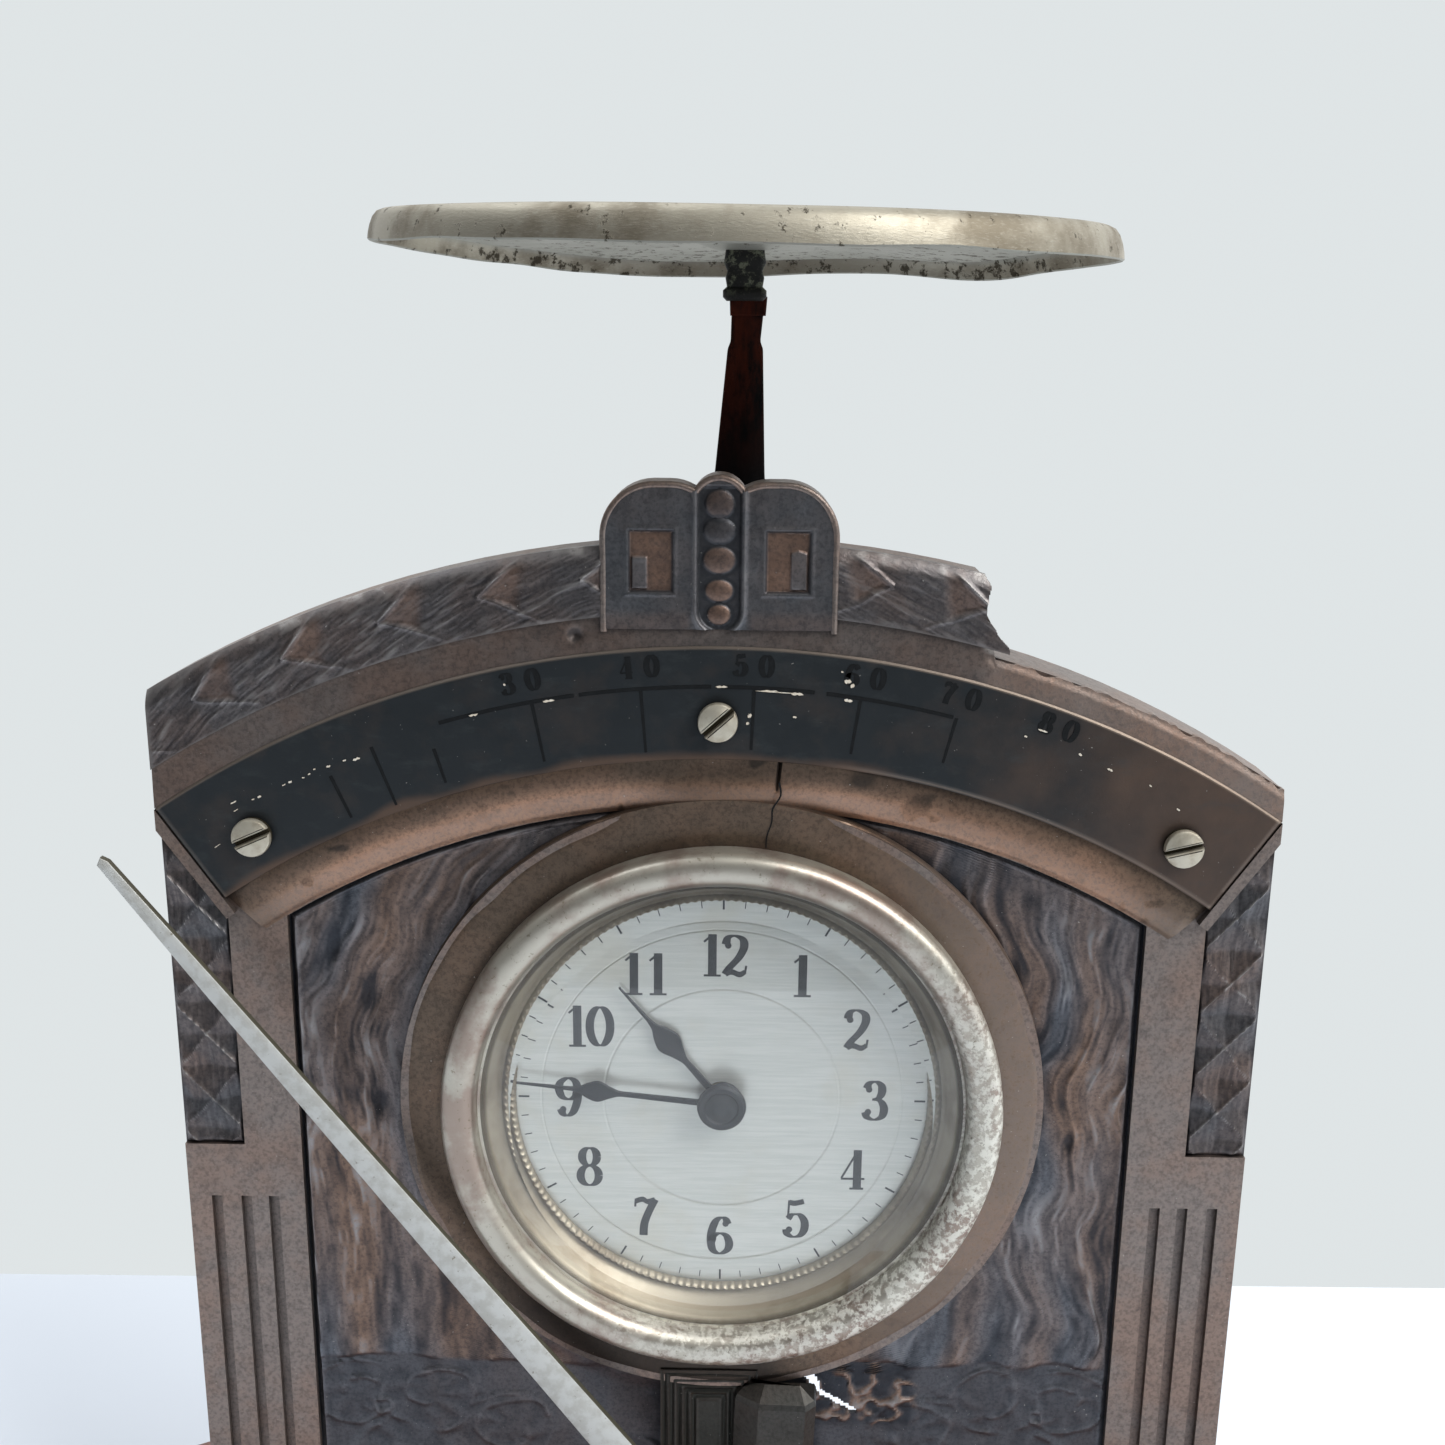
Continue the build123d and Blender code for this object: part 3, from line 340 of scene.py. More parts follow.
# ---------------------------------------------------------------- material helpers
class Paint:
    """Node material built up in small steps; texture sizes are in millimetres."""

    def __init__(self, name):
        self.material = bpy.data.materials.new(name)
        self.material.use_nodes = True
        self.tree = self.material.node_tree
        self.shader = self.tree.nodes["Principled BSDF"]
        self.place = self.add("ShaderNodeTexCoord").outputs["Object"]

    def add(self, kind, **settings):
        node = self.tree.nodes.new(kind)
        for key, value in settings.items():
            setattr(node, key, value)
        return node

    def plug(self, socket, value):
        if isinstance(value, bpy.types.NodeSocket):
            self.tree.links.new(value, socket)
        elif socket.type == "RGBA":
            socket.default_value = (*value, 1.0)
        else:
            socket.default_value = value

    def noise(self, size, detail=4.0, rough=0.55, stretch=None):
        node = self.add("ShaderNodeTexNoise")
        place = self.place
        if stretch is not None:
            mapping = self.add("ShaderNodeMapping")
            self.plug(mapping.inputs["Vector"], place)
            mapping.inputs["Scale"].default_value = stretch
            place = mapping.outputs["Vector"]
        self.plug(node.inputs["Vector"], place)
        node.inputs["Scale"].default_value = 1 / (size * MM)
        node.inputs["Detail"].default_value = detail
        node.inputs["Roughness"].default_value = rough
        return node.outputs["Fac"]

    def math(self, operation, a, b=0.0, clamp=False):
        node = self.add("ShaderNodeMath", operation=operation, use_clamp=clamp)
        self.plug(node.inputs[0], a)
        self.plug(node.inputs[1], b)
        return node.outputs[0]

    def span(self, value, low, high):
        node = self.add("ShaderNodeMapRange", interpolation_type="SMOOTHSTEP")
        self.plug(node.inputs["Value"], value)
        node.inputs["From Min"].default_value = low
        node.inputs["From Max"].default_value = high
        return node.outputs["Result"]

    def rise(self, base, value, share):
        """base + value * share."""
        return self.math("ADD", base, self.math("MULTIPLY", value, share))

    def positive(self, value):
        return self.math("MULTIPLY", value, 1.0, clamp=True)

    def mix(self, amount, a, b, share=1.0):
        """Colour a, turning to b by share times the amount."""
        if share != 1.0:
            amount = self.math("MULTIPLY", amount, share)
        node = self.add("ShaderNodeMix", data_type="RGBA")
        self.plug(node.inputs[0], amount)
        self.plug(node.inputs[6], a)
        self.plug(node.inputs[7], b)
        return node.outputs[2]

    def attribute(self, name):
        return self.add("ShaderNodeAttribute", attribute_name=name).outputs["Fac"]

    def axis(self, index):
        node = self.add("ShaderNodeSeparateXYZ")
        self.plug(node.inputs[0], self.place)
        return node.outputs[index]

    def facing(self, index):
        """Component of the surface normal along an axis of the row frame at rest."""
        node = self.add("ShaderNodeSeparateXYZ")
        self.plug(node.inputs[0], self.add("ShaderNodeTexCoord").outputs["Normal"])
        return node.outputs[index]

    def hollow(self, reach):
        """1 in corners and grooves, 0 in the open: ambient occlusion, used to paint shade into them."""
        node = self.add("ShaderNodeAmbientOcclusion", samples=4)
        node.inputs["Distance"].default_value = reach * MM
        return self.math("SUBTRACT", 1.0, node.outputs["AO"], clamp=True)

    def bump(self, height, depth):
        node = self.add("ShaderNodeBump")
        self.plug(node.inputs["Height"], height)
        node.inputs["Distance"].default_value = depth * MM
        self.plug(self.shader.inputs["Normal"], node.outputs["Normal"])

    def finish(self, colour, roughness, **fixed):
        self.plug(self.shader.inputs["Base Color"], colour)
        self.plug(self.shader.inputs["Roughness"], roughness)
        for key, value in fixed.items():
            self.plug(self.shader.inputs[key.replace("_", " ").title()], value)
        return self.material


def patina(name, plain, warm, dark, bright, rough=0.42, metal=0.8, cloud_share=0.5, stretch=None):
    """Aged plated casting: clouds of two colours, fine grain, dark marks and painted shade where the tone
    attribute is low and in hollows, and rubbed wear and painted highlights on high spots where it is high.
    """
    p = Paint(name)
    cloud = p.math("MULTIPLY", p.span(p.noise(13, 5, 0.6, stretch), 0.4, 0.62), cloud_share)
    grain = p.noise(0.55, 5, 0.7)
    tone = p.attribute("tone")
    colour = p.mix(p.math("ADD", cloud, p.attribute("warm"), clamp=True), plain, warm)
    colour = p.mix(p.span(p.noise(3.2, 6, 0.7), 0.48, 0.72), colour, dark, 0.28)
    colour = p.mix(p.span(grain, 0.42, 0.66), colour, dark, 0.42)
    # Dark marks and painted shade: low tone, which holds cracks and pits and also shade painted into the
    # reliefs, plus ambient-occlusion shade in hollows.
    dark_marks_and_shade = p.math("ADD", p.math("MULTIPLY", tone, -1.0, clamp=True), p.hollow(1.6), clamp=True)
    colour = p.mix(dark_marks_and_shade, colour, dark, 0.85)
    # Rubbed wear and painted highlights where the tone is high.
    worn = p.math("MULTIPLY", p.positive(tone), p.span(grain, 0.2, 0.6))
    colour = p.mix(worn, colour, bright)
    fleck = p.math("GREATER_THAN", p.noise(0.42, 2, 0.5), 0.765)
    colour = p.mix(fleck, colour, (0.55, 0.52, 0.48), 0.6)
    p.bump(p.math("ADD", grain, p.noise(2.4, 4, 0.6)), 0.05)
    roughness = p.rise(rough - 0.12, p.noise(1.8, 5, 0.6), 0.28)
    return p.finish(colour, roughness, metallic=metal)


def plain_metal(name, colour, stain, rough, metal=1.0, streak=None, size=6.0, bump=0.02):
    """Machined or plated metal with soft stains, fine scratches and painted shade in corners and grooves."""
    p = Paint(name)
    shade = p.mix(p.span(p.noise(size, 5, 0.6), 0.42, 0.7), colour, stain, 0.7)
    # Painted shade: darker where ambient occlusion finds a corner or groove.
    shade = p.mix(p.hollow(1.2), shade, tuple(0.25 * c for c in stain), 0.8)
    scratch = p.noise(0.5, 4, 0.6, streak or (1, 1, 1))
    p.bump(scratch, bump)
    roughness = p.rise(rough - 0.08, scratch, 0.2)
    return p.finish(shade, roughness, metallic=metal)


def nickel_material():
    """Worn nickel: pink-brown where the plating is thin, white speckled corrosion low and right."""
    p = Paint("worn_nickel")
    blotch = p.span(p.noise(9, 5, 0.62), 0.42, 0.62)
    colour = p.mix(blotch, (0.53, 0.50, 0.43), (0.36, 0.29, 0.245))
    side = p.math("SUBTRACT", p.math("DIVIDE", p.axis(0), 0.038), p.math("DIVIDE", p.axis(2), 0.06))
    zone = p.span(p.math("ADD", side, p.noise(8, 3)), -1.6, 0.2)
    crust = p.math("MULTIPLY", p.span(p.noise(1.1, 6, 0.72), 0.44, 0.56), zone)
    colour = p.mix(crust, colour, (0.90, 0.89, 0.81))
    pit = p.span(p.noise(0.7, 4, 0.7), 0.60, 0.68)
    colour = p.mix(pit, colour, (0.20, 0.165, 0.11), 0.6)
    p.bump(p.math("ADD", crust, p.noise(0.8, 5, 0.6)), 0.03)
    roughness = p.rise(0.34, crust, 0.25)
    return p.finish(colour, roughness, metallic=0.72)


def pan_material():
    """Nickel dish: bright worn rim, dull grey-green underside, and rust spots, mostly low at the back."""
    p = Paint("pan_nickel")
    blotch = p.span(p.noise(12, 5, 0.6), 0.4, 0.65)
    colour = p.mix(blotch, (0.40, 0.37, 0.30), (0.22, 0.19, 0.14))
    scratch = p.noise(0.9, 5, 0.65, (1, 1, 4))
    colour = p.mix(p.span(scratch, 0.5, 0.7), colour, (0.55, 0.53, 0.46), 0.25)
    under = p.span(p.facing(2), -0.25, -0.6)
    colour = p.mix(under, colour, (0.33, 0.33, 0.29))
    low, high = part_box("weighing_pan")
    middle_y = (low.y + high.y) / 2
    rim_low = p.span(p.axis(2), low.z + 2.5 * MM, low.z + 0.3 * MM)
    rim_low = p.math("MULTIPLY", rim_low, p.span(p.axis(1), middle_y + 7 * MM, middle_y + 27 * MM))
    rust = p.span(p.rise(p.noise(2.2, 6, 0.75), rim_low, 0.06), 0.59, 0.65)
    colour = p.mix(rust, colour, (0.045, 0.035, 0.02), 0.85)
    p.bump(p.math("ADD", scratch, rust), 0.04)
    roughness = p.rise(0.46, p.math("ADD", rust, blotch), 0.12)
    return p.finish(colour, roughness, metallic=0.72)


def plate_material():
    """Blackened number plate, worn to brown where the warm attribute says so, with painted highlights along
    its edges and painted shade in hollows.
    """
    p = Paint("blackened_plate")
    warm = p.math("ADD", p.attribute("warm"), p.math("SUBTRACT", p.noise(7, 5, 0.6), 0.5), clamp=True)
    colour = p.mix(warm, (0.022, 0.027, 0.031), (0.115, 0.075, 0.055))
    smear = p.span(p.noise(5, 5, 0.65, (1, 1, 2.2)), 0.52, 0.75)
    colour = p.mix(smear, colour, (0.055, 0.063, 0.066), 0.35)
    tone = p.attribute("tone")
    # Painted highlight: brown where the tone attribute is high, along the chamfered edges.
    colour = p.mix(p.positive(tone), colour, (0.42, 0.33, 0.26))
    # Painted shade in hollows.
    colour = p.mix(p.hollow(0.9), colour, (0.008, 0.009, 0.011))
    fleck = p.math("GREATER_THAN", p.noise(0.45, 2, 0.5), 0.775)
    colour = p.mix(fleck, colour, (0.5, 0.48, 0.45), 0.55)
    p.bump(p.noise(0.8, 5, 0.6), 0.02)
    roughness = p.rise(0.3, p.noise(3, 5, 0.6), 0.25)
    return p.finish(colour, roughness, metallic=0.45)


def pointer_material():
    """Pale worn paint with streaks along the blade, dark olive at its edges."""
    p = Paint("pointer_white")
    streak = p.noise(2.0, 5, 0.6)
    colour = p.mix(p.span(streak, 0.4, 0.62), (0.60, 0.61, 0.59), (0.50, 0.50, 0.47))
    spot = p.span(p.noise(1.3, 5, 0.7), 0.62, 0.68)
    colour = p.mix(spot, colour, (0.16, 0.13, 0.08), 0.7)
    edge = p.math("LESS_THAN", p.math("ABSOLUTE", p.facing(1)), 0.45)
    colour = p.mix(edge, colour, (0.075, 0.07, 0.05))
    p.bump(streak, 0.03)
    return p.finish(colour, p.rise(0.36, streak, 0.2), metallic=0.25)


def stem_material():
    """Near-black iron with red-brown rust towards its top."""
    p = Paint("iron_black")
    rust = p.span(p.noise(4, 6, 0.7, (1, 1, 0.35)), 0.38, 0.6)
    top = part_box("pan_stem")[1].z
    rust = p.math("MULTIPLY", rust, p.span(p.axis(2), top - 29 * MM, top - 9 * MM))
    colour = p.mix(rust, (0.002, 0.0025, 0.003), (0.07, 0.014, 0.007), 0.9)
    p.bump(p.noise(0.8, 6, 0.7), 0.06)
    p.shader.inputs["Specular IOR Level"].default_value = 0.1
    return p.finish(colour, p.rise(0.5, rust, 0.3))


def socket_material():
    """Dark iron with a crust of green-white corrosion."""
    p = Paint("socket_iron")
    crust = p.span(p.noise(1.6, 6, 0.75), 0.5, 0.6)
    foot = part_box("stem_socket")[0].z
    crust = p.math("MULTIPLY", crust, p.span(p.axis(2), foot, foot + 3 * MM))
    colour = p.mix(crust, (0.008, 0.008, 0.007), (0.16, 0.17, 0.12))
    p.bump(p.noise(0.9, 6, 0.75), 0.25)
    p.shader.inputs["Specular IOR Level"].default_value = 0.3
    return p.finish(colour, p.rise(0.5, crust, 0.3))


def dial_material():
    """Silvered brass, brushed along X, yellowed in soft patches."""
    p = Paint("silvered_dial")
    brush = p.noise(0.35, 4, 0.7, (0.04, 1, 1))
    colour = p.mix(p.span(brush, 0.35, 0.65), (0.65, 0.665, 0.64), (0.575, 0.60, 0.575))
    colour = p.mix(p.span(p.noise(11, 4), 0.45, 0.7), colour, (0.55, 0.52, 0.42), 0.35)
    p.bump(brush, 0.008)
    return p.finish(colour, p.rise(0.32, brush, 0.12), metallic=0.55)


def glass_material():
    """Clear glass that lets light through to the dial."""
    p = Paint("clock_glass_clear")
    p.shader.inputs["Base Color"].default_value = (0.985, 0.99, 0.985, 1)
    p.shader.inputs["Roughness"].default_value = 0.01
    p.shader.inputs["IOR"].default_value = 1.5
    p.shader.inputs["Transmission Weight"].default_value = 1.0
    p.bump(p.noise(30, 2), 0.02)
    clear = p.add("ShaderNodeBsdfTransparent")
    blend = p.add("ShaderNodeMixShader")
    p.plug(blend.inputs[0], p.add("ShaderNodeLightPath").outputs["Is Shadow Ray"])
    p.plug(blend.inputs[1], p.shader.outputs[0])
    p.plug(blend.inputs[2], clear.outputs[0])
    p.plug(p.tree.nodes["Material Output"].inputs["Surface"], blend.outputs[0])
    return p.material


def felt_material():
    """Dark green felt."""
    p = Paint("felt_green")
    fuzz = p.noise(0.25, 5, 0.75)
    colour = p.mix(p.span(fuzz, 0.35, 0.7), (0.03, 0.045, 0.035), (0.06, 0.08, 0.06))
    p.bump(fuzz, 0.2)
    p.shader.inputs["Sheen Weight"].default_value = 0.4
    return p.finish(colour, 0.95)


def paint_material(name, colour, rough=0.5, shine=0.5):
    """Old ink or paint, a little uneven."""
    p = Paint(name)
    p.shader.inputs["Specular IOR Level"].default_value = shine
    patch = p.span(p.noise(0.9, 5, 0.7), 0.4, 0.7)
    shade = p.mix(patch, colour, tuple(min(1.0, c * 1.8 + 0.004) for c in colour), 0.4)
    p.bump(patch, 0.01)
    return p.finish(shade, rough)


casting = patina("copper_patina", (0.265, 0.222, 0.20), (0.31, 0.20, 0.15), (0.045, 0.043, 0.045),
                 (0.52, 0.47, 0.43))
panel_patina = patina("panel_patina", (0.15, 0.162, 0.185), (0.27, 0.18, 0.135), (0.020, 0.024, 0.032),
                      (0.40, 0.40, 0.41), cloud_share=0.2, stretch=(1, 1, 0.3))
crest_patina = patina("crest_patina", (0.14, 0.15, 0.165), (0.27, 0.17, 0.125), (0.035, 0.038, 0.044),
                      (0.42, 0.42, 0.42), cloud_share=0.15)
band_patina = patina("band_patina", (0.145, 0.143, 0.15), (0.235, 0.155, 0.12), (0.028, 0.028, 0.033),
                     (0.52, 0.50, 0.48), cloud_share=0.3)
strip_copper = patina("strip_copper", (0.18, 0.132, 0.098), (0.40, 0.235, 0.155), (0.035, 0.031, 0.028),
                      (0.42, 0.34, 0.30), cloud_share=0.22)
base_copper = patina("base_copper", (0.26, 0.14, 0.12), (0.33, 0.16, 0.13), (0.07, 0.035, 0.03),
                     (0.45, 0.3, 0.26), rough=0.5, metal=0.4)
worn_nickel = nickel_material()
pan_nickel = pan_material()
screw_nickel = plain_metal("nickel_screw", (0.60, 0.56, 0.46), (0.40, 0.34, 0.25), 0.44, metal=0.75,
                           streak=(1, 1, 6), size=2)
black_plate = plate_material()
pointer_white = pointer_material()
iron_black = stem_material()
socket_iron = socket_material()
silvered = dial_material()
sight_brass = plain_metal("sight_brass", (0.37, 0.33, 0.26), (0.17, 0.13, 0.085), 0.48, metal=0.7, size=9)
clear_glass = glass_material()
felt = felt_material()
hand_blue = plain_metal("hand_blue", (0.012, 0.015, 0.02), (0.03, 0.032, 0.036), 0.45, metal=0.4)
brass = plain_metal("mechanism_brass", (0.52, 0.38, 0.16), (0.30, 0.20, 0.09), 0.3)
steel = plain_metal("mechanism_steel", (0.42, 0.42, 0.42), (0.20, 0.18, 0.16), 0.32)
# Near-black paint for the bottom of the screw slots: a painted shade.
slot_floor_shade = paint_material("slot_floor_shade", (0.022, 0.018, 0.01), 0.8, shine=0.1)
numeral_ink = paint_material("numeral_ink", (0.022, 0.026, 0.032), 0.5)
tick_ink = paint_material("tick_ink", (0.005, 0.006, 0.007), 0.7, shine=0.22)
fragment_iron = patina("fragment_patina", (0.075, 0.073, 0.068), (0.10, 0.085, 0.075), (0.025, 0.026, 0.022),
                       (0.3, 0.29, 0.27))
fleck_white = paint_material("fleck_white", (0.72, 0.64, 0.52), 0.7)

FINISHES = {
    "copper_patina": casting, "base_copper": base_copper, "felt": felt, "blackened_plate": black_plate,
    "nickel": worn_nickel, "nickel_screw": screw_nickel, "pan_nickel": pan_nickel,
    "pointer_white": pointer_white, "iron_black": iron_black, "silvered_dial": silvered,
    "sight_brass": sight_brass, "glass": clear_glass, "hand_blue": hand_blue,
    "mechanism_brass": brass, "mechanism_steel": steel,
}
for cad_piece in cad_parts.values():
    cad_piece.data.materials[0] = FINISHES[cad_piece.data.materials[0].name.split(".")[0]]


# ---------------------------------------------------------------- ornament of the casting
def net(u, v, period, slope, cross_u, cross_v):
    """Distances to two crossing sets of slanting lines."""
    lean = math.tan(math.radians(slope))
    rise = (u - cross_u - (v - cross_v) / lean) / period
    fall = (u - cross_u + (v - cross_v) / lean) / period
    across = period * math.sin(math.radians(slope))
    return np.abs(rise - np.round(rise)) * across, np.abs(fall - np.round(fall)) * across


def bark(u, v, wobble, hatch_u, hatch_v):
    """Fine uneven lines across an ornament, as height and tone."""
    along = hatch_v * u - hatch_u * v
    across = hatch_u * u + hatch_v * v
    coarse = noise(along * 0.09, across + 0.12 * wobble, 0.5, 23)
    fine = noise(along * 0.14, across, 0.24, 24)
    return 0.04 * coarse + 0.03 * fine, 0.24 * coarse + 0.34 * fine


def lattice_net(u, v, wobble):
    """Diamond net: thin raised ridges over hollow fields with upright hatching."""
    u, v = u + 0.35 * wobble, v + 0.3 * wobble
    to_rise, to_fall = net(u, v, 9.5, 42, 9.0, 4.0)
    nearest = np.minimum(to_rise, to_fall)
    low, grain = bark(u, v, wobble, 0.05, 1.0)
    height = -0.30 * nearest + 0.18 * ridge(to_rise, 0.2) + 0.12 * ridge(to_fall, 0.2) + low
    # Painted highlights: the ridges are painted light, the rising ones brighter than the falling ones.
    tone = 0.85 * ridge(to_rise, 0.14) + 0.65 * ridge(to_fall, 0.13) - 0.3 + grain
    return height, tone, 0.3 * ease(wobble + np.sin(u * 0.4), 0.1, 0.9)


def ridge_row(u, v, wobble, period, start):
    """Row of slanting ridges, each over a soft worn facet, among bark lines."""
    u, v = u + 0.4 * wobble, v + 0.3 * wobble
    past, over_foot = (u - start) % period, v - 5.0
    below = (past - 1.6 * over_foot) * 0.53
    on_ridge = ease(over_foot, -1.0, 0.4) * ease(8.0 - past, 0, 2.0)
    to_fall = np.abs(over_foot + 0.587 * past) * 0.86
    on_fall = ease(9.0 - past, 0, 3.0)
    facet = ease(below, 0, 0.7) * ease(4.8 + 0.3 * (over_foot + 2.7) - past, -1.0, 1.0)
    facet = facet * ease(over_foot + 0.587 * past, 0, 1.0)
    low, grain = bark(u, v, wobble, -0.3, 0.95)
    height = 0.32 * ridge(below, 0.28) * on_ridge - 0.12 * np.clip(below, 0, 3) * facet
    height = height + 0.12 * ridge(to_fall, 0.25) * on_fall + low * (1 - 0.7 * facet)
    # Painted highlights: the ridge lines and falling lines are painted light.
    tone = 0.62 * ridge(below, 0.15) * on_ridge + 0.34 * ridge(to_fall, 0.14) * on_fall
    tone = tone - 0.12 * (1 - facet) + 1.2 * grain * (1 - 0.7 * facet)
    return height, tone, facet


def band_shape(mirror, start, period):
    """Ornament band outside the smooth border, with its outer edge rounded over."""
    def shape(x, z):
        radius, angle = arc_place(x, z)
        u = np.radians(angle) * (BAND_IN + BAND_OUT) / 2
        if mirror:
            u = -u
        wobble = noise(x, z, 3.0, 3)
        height, tone, facet = ridge_row(u, radius - BAND_IN, wobble, period, start)
        outer = radius - (BAND_OUT - 2.2)
        fall = ease(outer, 0, 2.2)
        inner = ease(radius - BAND_IN, 0.0, 0.5) * ease(x + HALF_W, 0, 1.2)
        height = 1.3 + (height + 0.05 * wobble) * inner * (1 - fall)
        height = height - 1.15 * np.clip(outer / 2.2, 0, 1) ** 2
        # Painted highlight: shine lightens the rounded-over outer edge.
        shine = ease(noise(x * 0.8, z, 1.2, 8) + noise(x, z, 9, 19), 0.2, 1.1)
        tone = tone * (1 - fall) * inner + (0.12 + 0.5 * shine) * fall + 0.25 * (1 - inner)
        warm = 0.5 * facet * (1 - fall) + 0.12
        return height, {"tone": tone, "warm": warm}
    return shape


def border_shape(x, z):
    """Smooth border outside the number plate, cracked once and snapped off on the right."""
    radius, _ = arc_place(x, z)
    height = 1.0 - 0.12 * (radius - PLATE_OUT) / 4 + 0.04 * noise(x, z, 4, 12)
    rim = ease(radius, BAND_IN - 0.9, BAND_IN - 0.3)
    crack = ridge(np.hypot(x + 18.5, z - 66.0), 0.75)
    broken = ease(x, 33, 36)
    # The outer rim is lighter at the left; along the snapped edge on the right a painted highlight is added.
    tone = 0.4 * rim * (1 - broken) * (1 - ease(x, -40, 0)) - 1.5 * crack - 0.34 - 0.12 * ridge(x / 45, 1)
    tone = tone + 0.5 * broken + broken * (1.5 * rim * (0.6 + noise(x, z, 1.5, 31)))
    height = height - 0.7 * crack - 0.35 * broken * ease(radius, 135.2, 136.6)
    return height, {"tone": tone, "warm": 0.12 + 0.2 * noise(x, z, 9, 13) + 0.2 * broken}


def broken_radius(x):
    """Outer edge of the smooth border: even on the left, snapped off on the right."""
    jagged = 136.45 + 0.35 * noise(x, 0 * x, 2.1, 21) + 0.2 * noise(x, 0 * x, 0.7, 22)
    return np.where(x > 35.5, jagged, BAND_IN + 0.05)


def strip_shape(x, z):
    """Copper strip under the number plate, swelling into the clock's boss at the middle."""
    radius, angle = arc_place(x, z)
    share = (radius - PANEL_R) / (PLATE_IN - PANEL_R)
    middle_swell = np.exp(-(x / 11.0) ** 2)
    inner = 0.25 + 1.8 * middle_swell
    outer = 0.1 + 1.16 * (1 - ease(angle, 6, 15)) * ease(angle, -34, -31)
    height = inner + (outer - inner) * ease(share, 0.0, 1.0)
    height = height + 0.35 * np.sin(math.pi * np.clip(share, 0, 1)) * (1 - middle_swell)
    grain = 0.04 * noise(x, z, 5, 14) * (1 - middle_swell)
    height = height * ease(PLATE_END + 0.5 - np.abs(angle), 0.0, 1.5) + 0.03 + grain
    height = height - 0.3 * ridge(radius - PANEL_R, 0.5) * (1 - middle_swell)
    crack = ridge(to_line(x, z, 8.2, 50.5, 7.9, 45.5), 0.15)
    spot = ridge(ellipse_gap(x, z, 19.0, 47.0, 1.6, 1.0), 1.0)
    spots = ease(noise(x, z, 1.6, 15) + noise(x, z, 5.5, 16), 0.95, 1.25)
    height = height - 0.5 * crack
    olive = ease(share, 0.35, 0.75) * (1 - ease(angle, 10, 22))
    tone = -1.4 * crack - 0.9 * spot - 0.55 * spots - 0.45 * olive + 0.3 * ridge(share - 0.3, 0.25)
    warm = np.clip(0.9 * ridge(share - 0.28, 0.35) + 0.2 - 0.5 * middle_swell, 0, 1)
    warm = warm * ease(PLATE_END - np.abs(angle), 0, 9)
    return height, {"tone": tone, "warm": warm}


def plate_shape(x, z):
    """Number plate with chamfered edges; left and middle its lower edge fades into the strip."""
    radius, angle = arc_place(x, z)
    side = np.radians(PLATE_END - np.abs(angle)) * radius
    top = ease(PLATE_OUT - radius, 0, 0.3)
    end = ease(side, 0, 0.4)
    faded = 1 - ease(angle, 6, 15)
    bottom = np.maximum(ease(radius - PLATE_IN, 0, 0.55), faded)
    height = 0.98 + 0.28 * np.minimum(np.minimum(top, end), bottom) + 0.02 * noise(x, z, 11, 17)
    lit = ridge(PLATE_OUT - 0.12 - radius, 0.17) * (0.7 + 0.5 * ease(angle, 2, 16))
    lit = lit + 0.45 * ridge(radius - PLATE_IN - 0.3, 0.18) * (1 - faded)
    lit = lit + 0.3 * ridge(side - 0.25, 0.2)
    edge = noise(x, z, 6, 18)
    warm = faded * ease(PLATE_IN + 1.7 + 0.7 * edge - radius, 0, 2.0) * 1.3
    warm = warm + 0.62 * ease(angle + 3 * edge, 14, 30) + 0.12 * ease(angle, 8, 20)
    return height, {"tone": 0.85 * lit, "warm": warm}


# Pits of the panels: place, half width and half height. Curls of the leaf scrolls: place and radius.
PITS = [(-46.4, -1.5, 1.5, 1.9), (-47.6, 15.5, 1.0, 3.2), (49.8, -6.0, 0.7, 1.3), (-52.0, 22.0, 1.0, 2.0)]
CURLS = [(52.0, -49.0, 7.5), (41.0, -48.0, 8.0), (30.0, -54.0, 7.5), (46.0, -60.0, 8.0), (55.0, -70.0, 7.0),
         (34.0, -68.0, 8.0), (20.0, -66.0, 8.0), (50.0, -80.0, 7.5), (38.0, -80.0, 7.5), (25.0, -81.0, 7.5),
         (12.5, -80.0, 6.0), (12.0, -60.0, 6.0)]


def wood_flow(x, z):
    """Strand coordinate of the flowing panels: it is constant along a strand."""
    sway = 0.9 * np.sin(2 * math.pi * z / 25.0 + 0.09 * x)
    sway = sway + 0.35 * np.sin(2 * math.pi * z / 10.5 + 0.3 * x + 1)
    fan = np.where(x < 0, 0.0085 * np.clip(z - 2, 0, None) ** 2, -0.002 * np.clip(z - 20, 0, None) ** 2)
    calm = np.where(x < 0, 1 - 0.8 * ease(-z, 2, 18), 1.0)
    drift = 1.6 * noise(x, z * 0.5, 9.0, 5) + 0.5 * noise(x, z * 0.6, 3.5, 6)
    return x - (sway + drift) * calm - fan


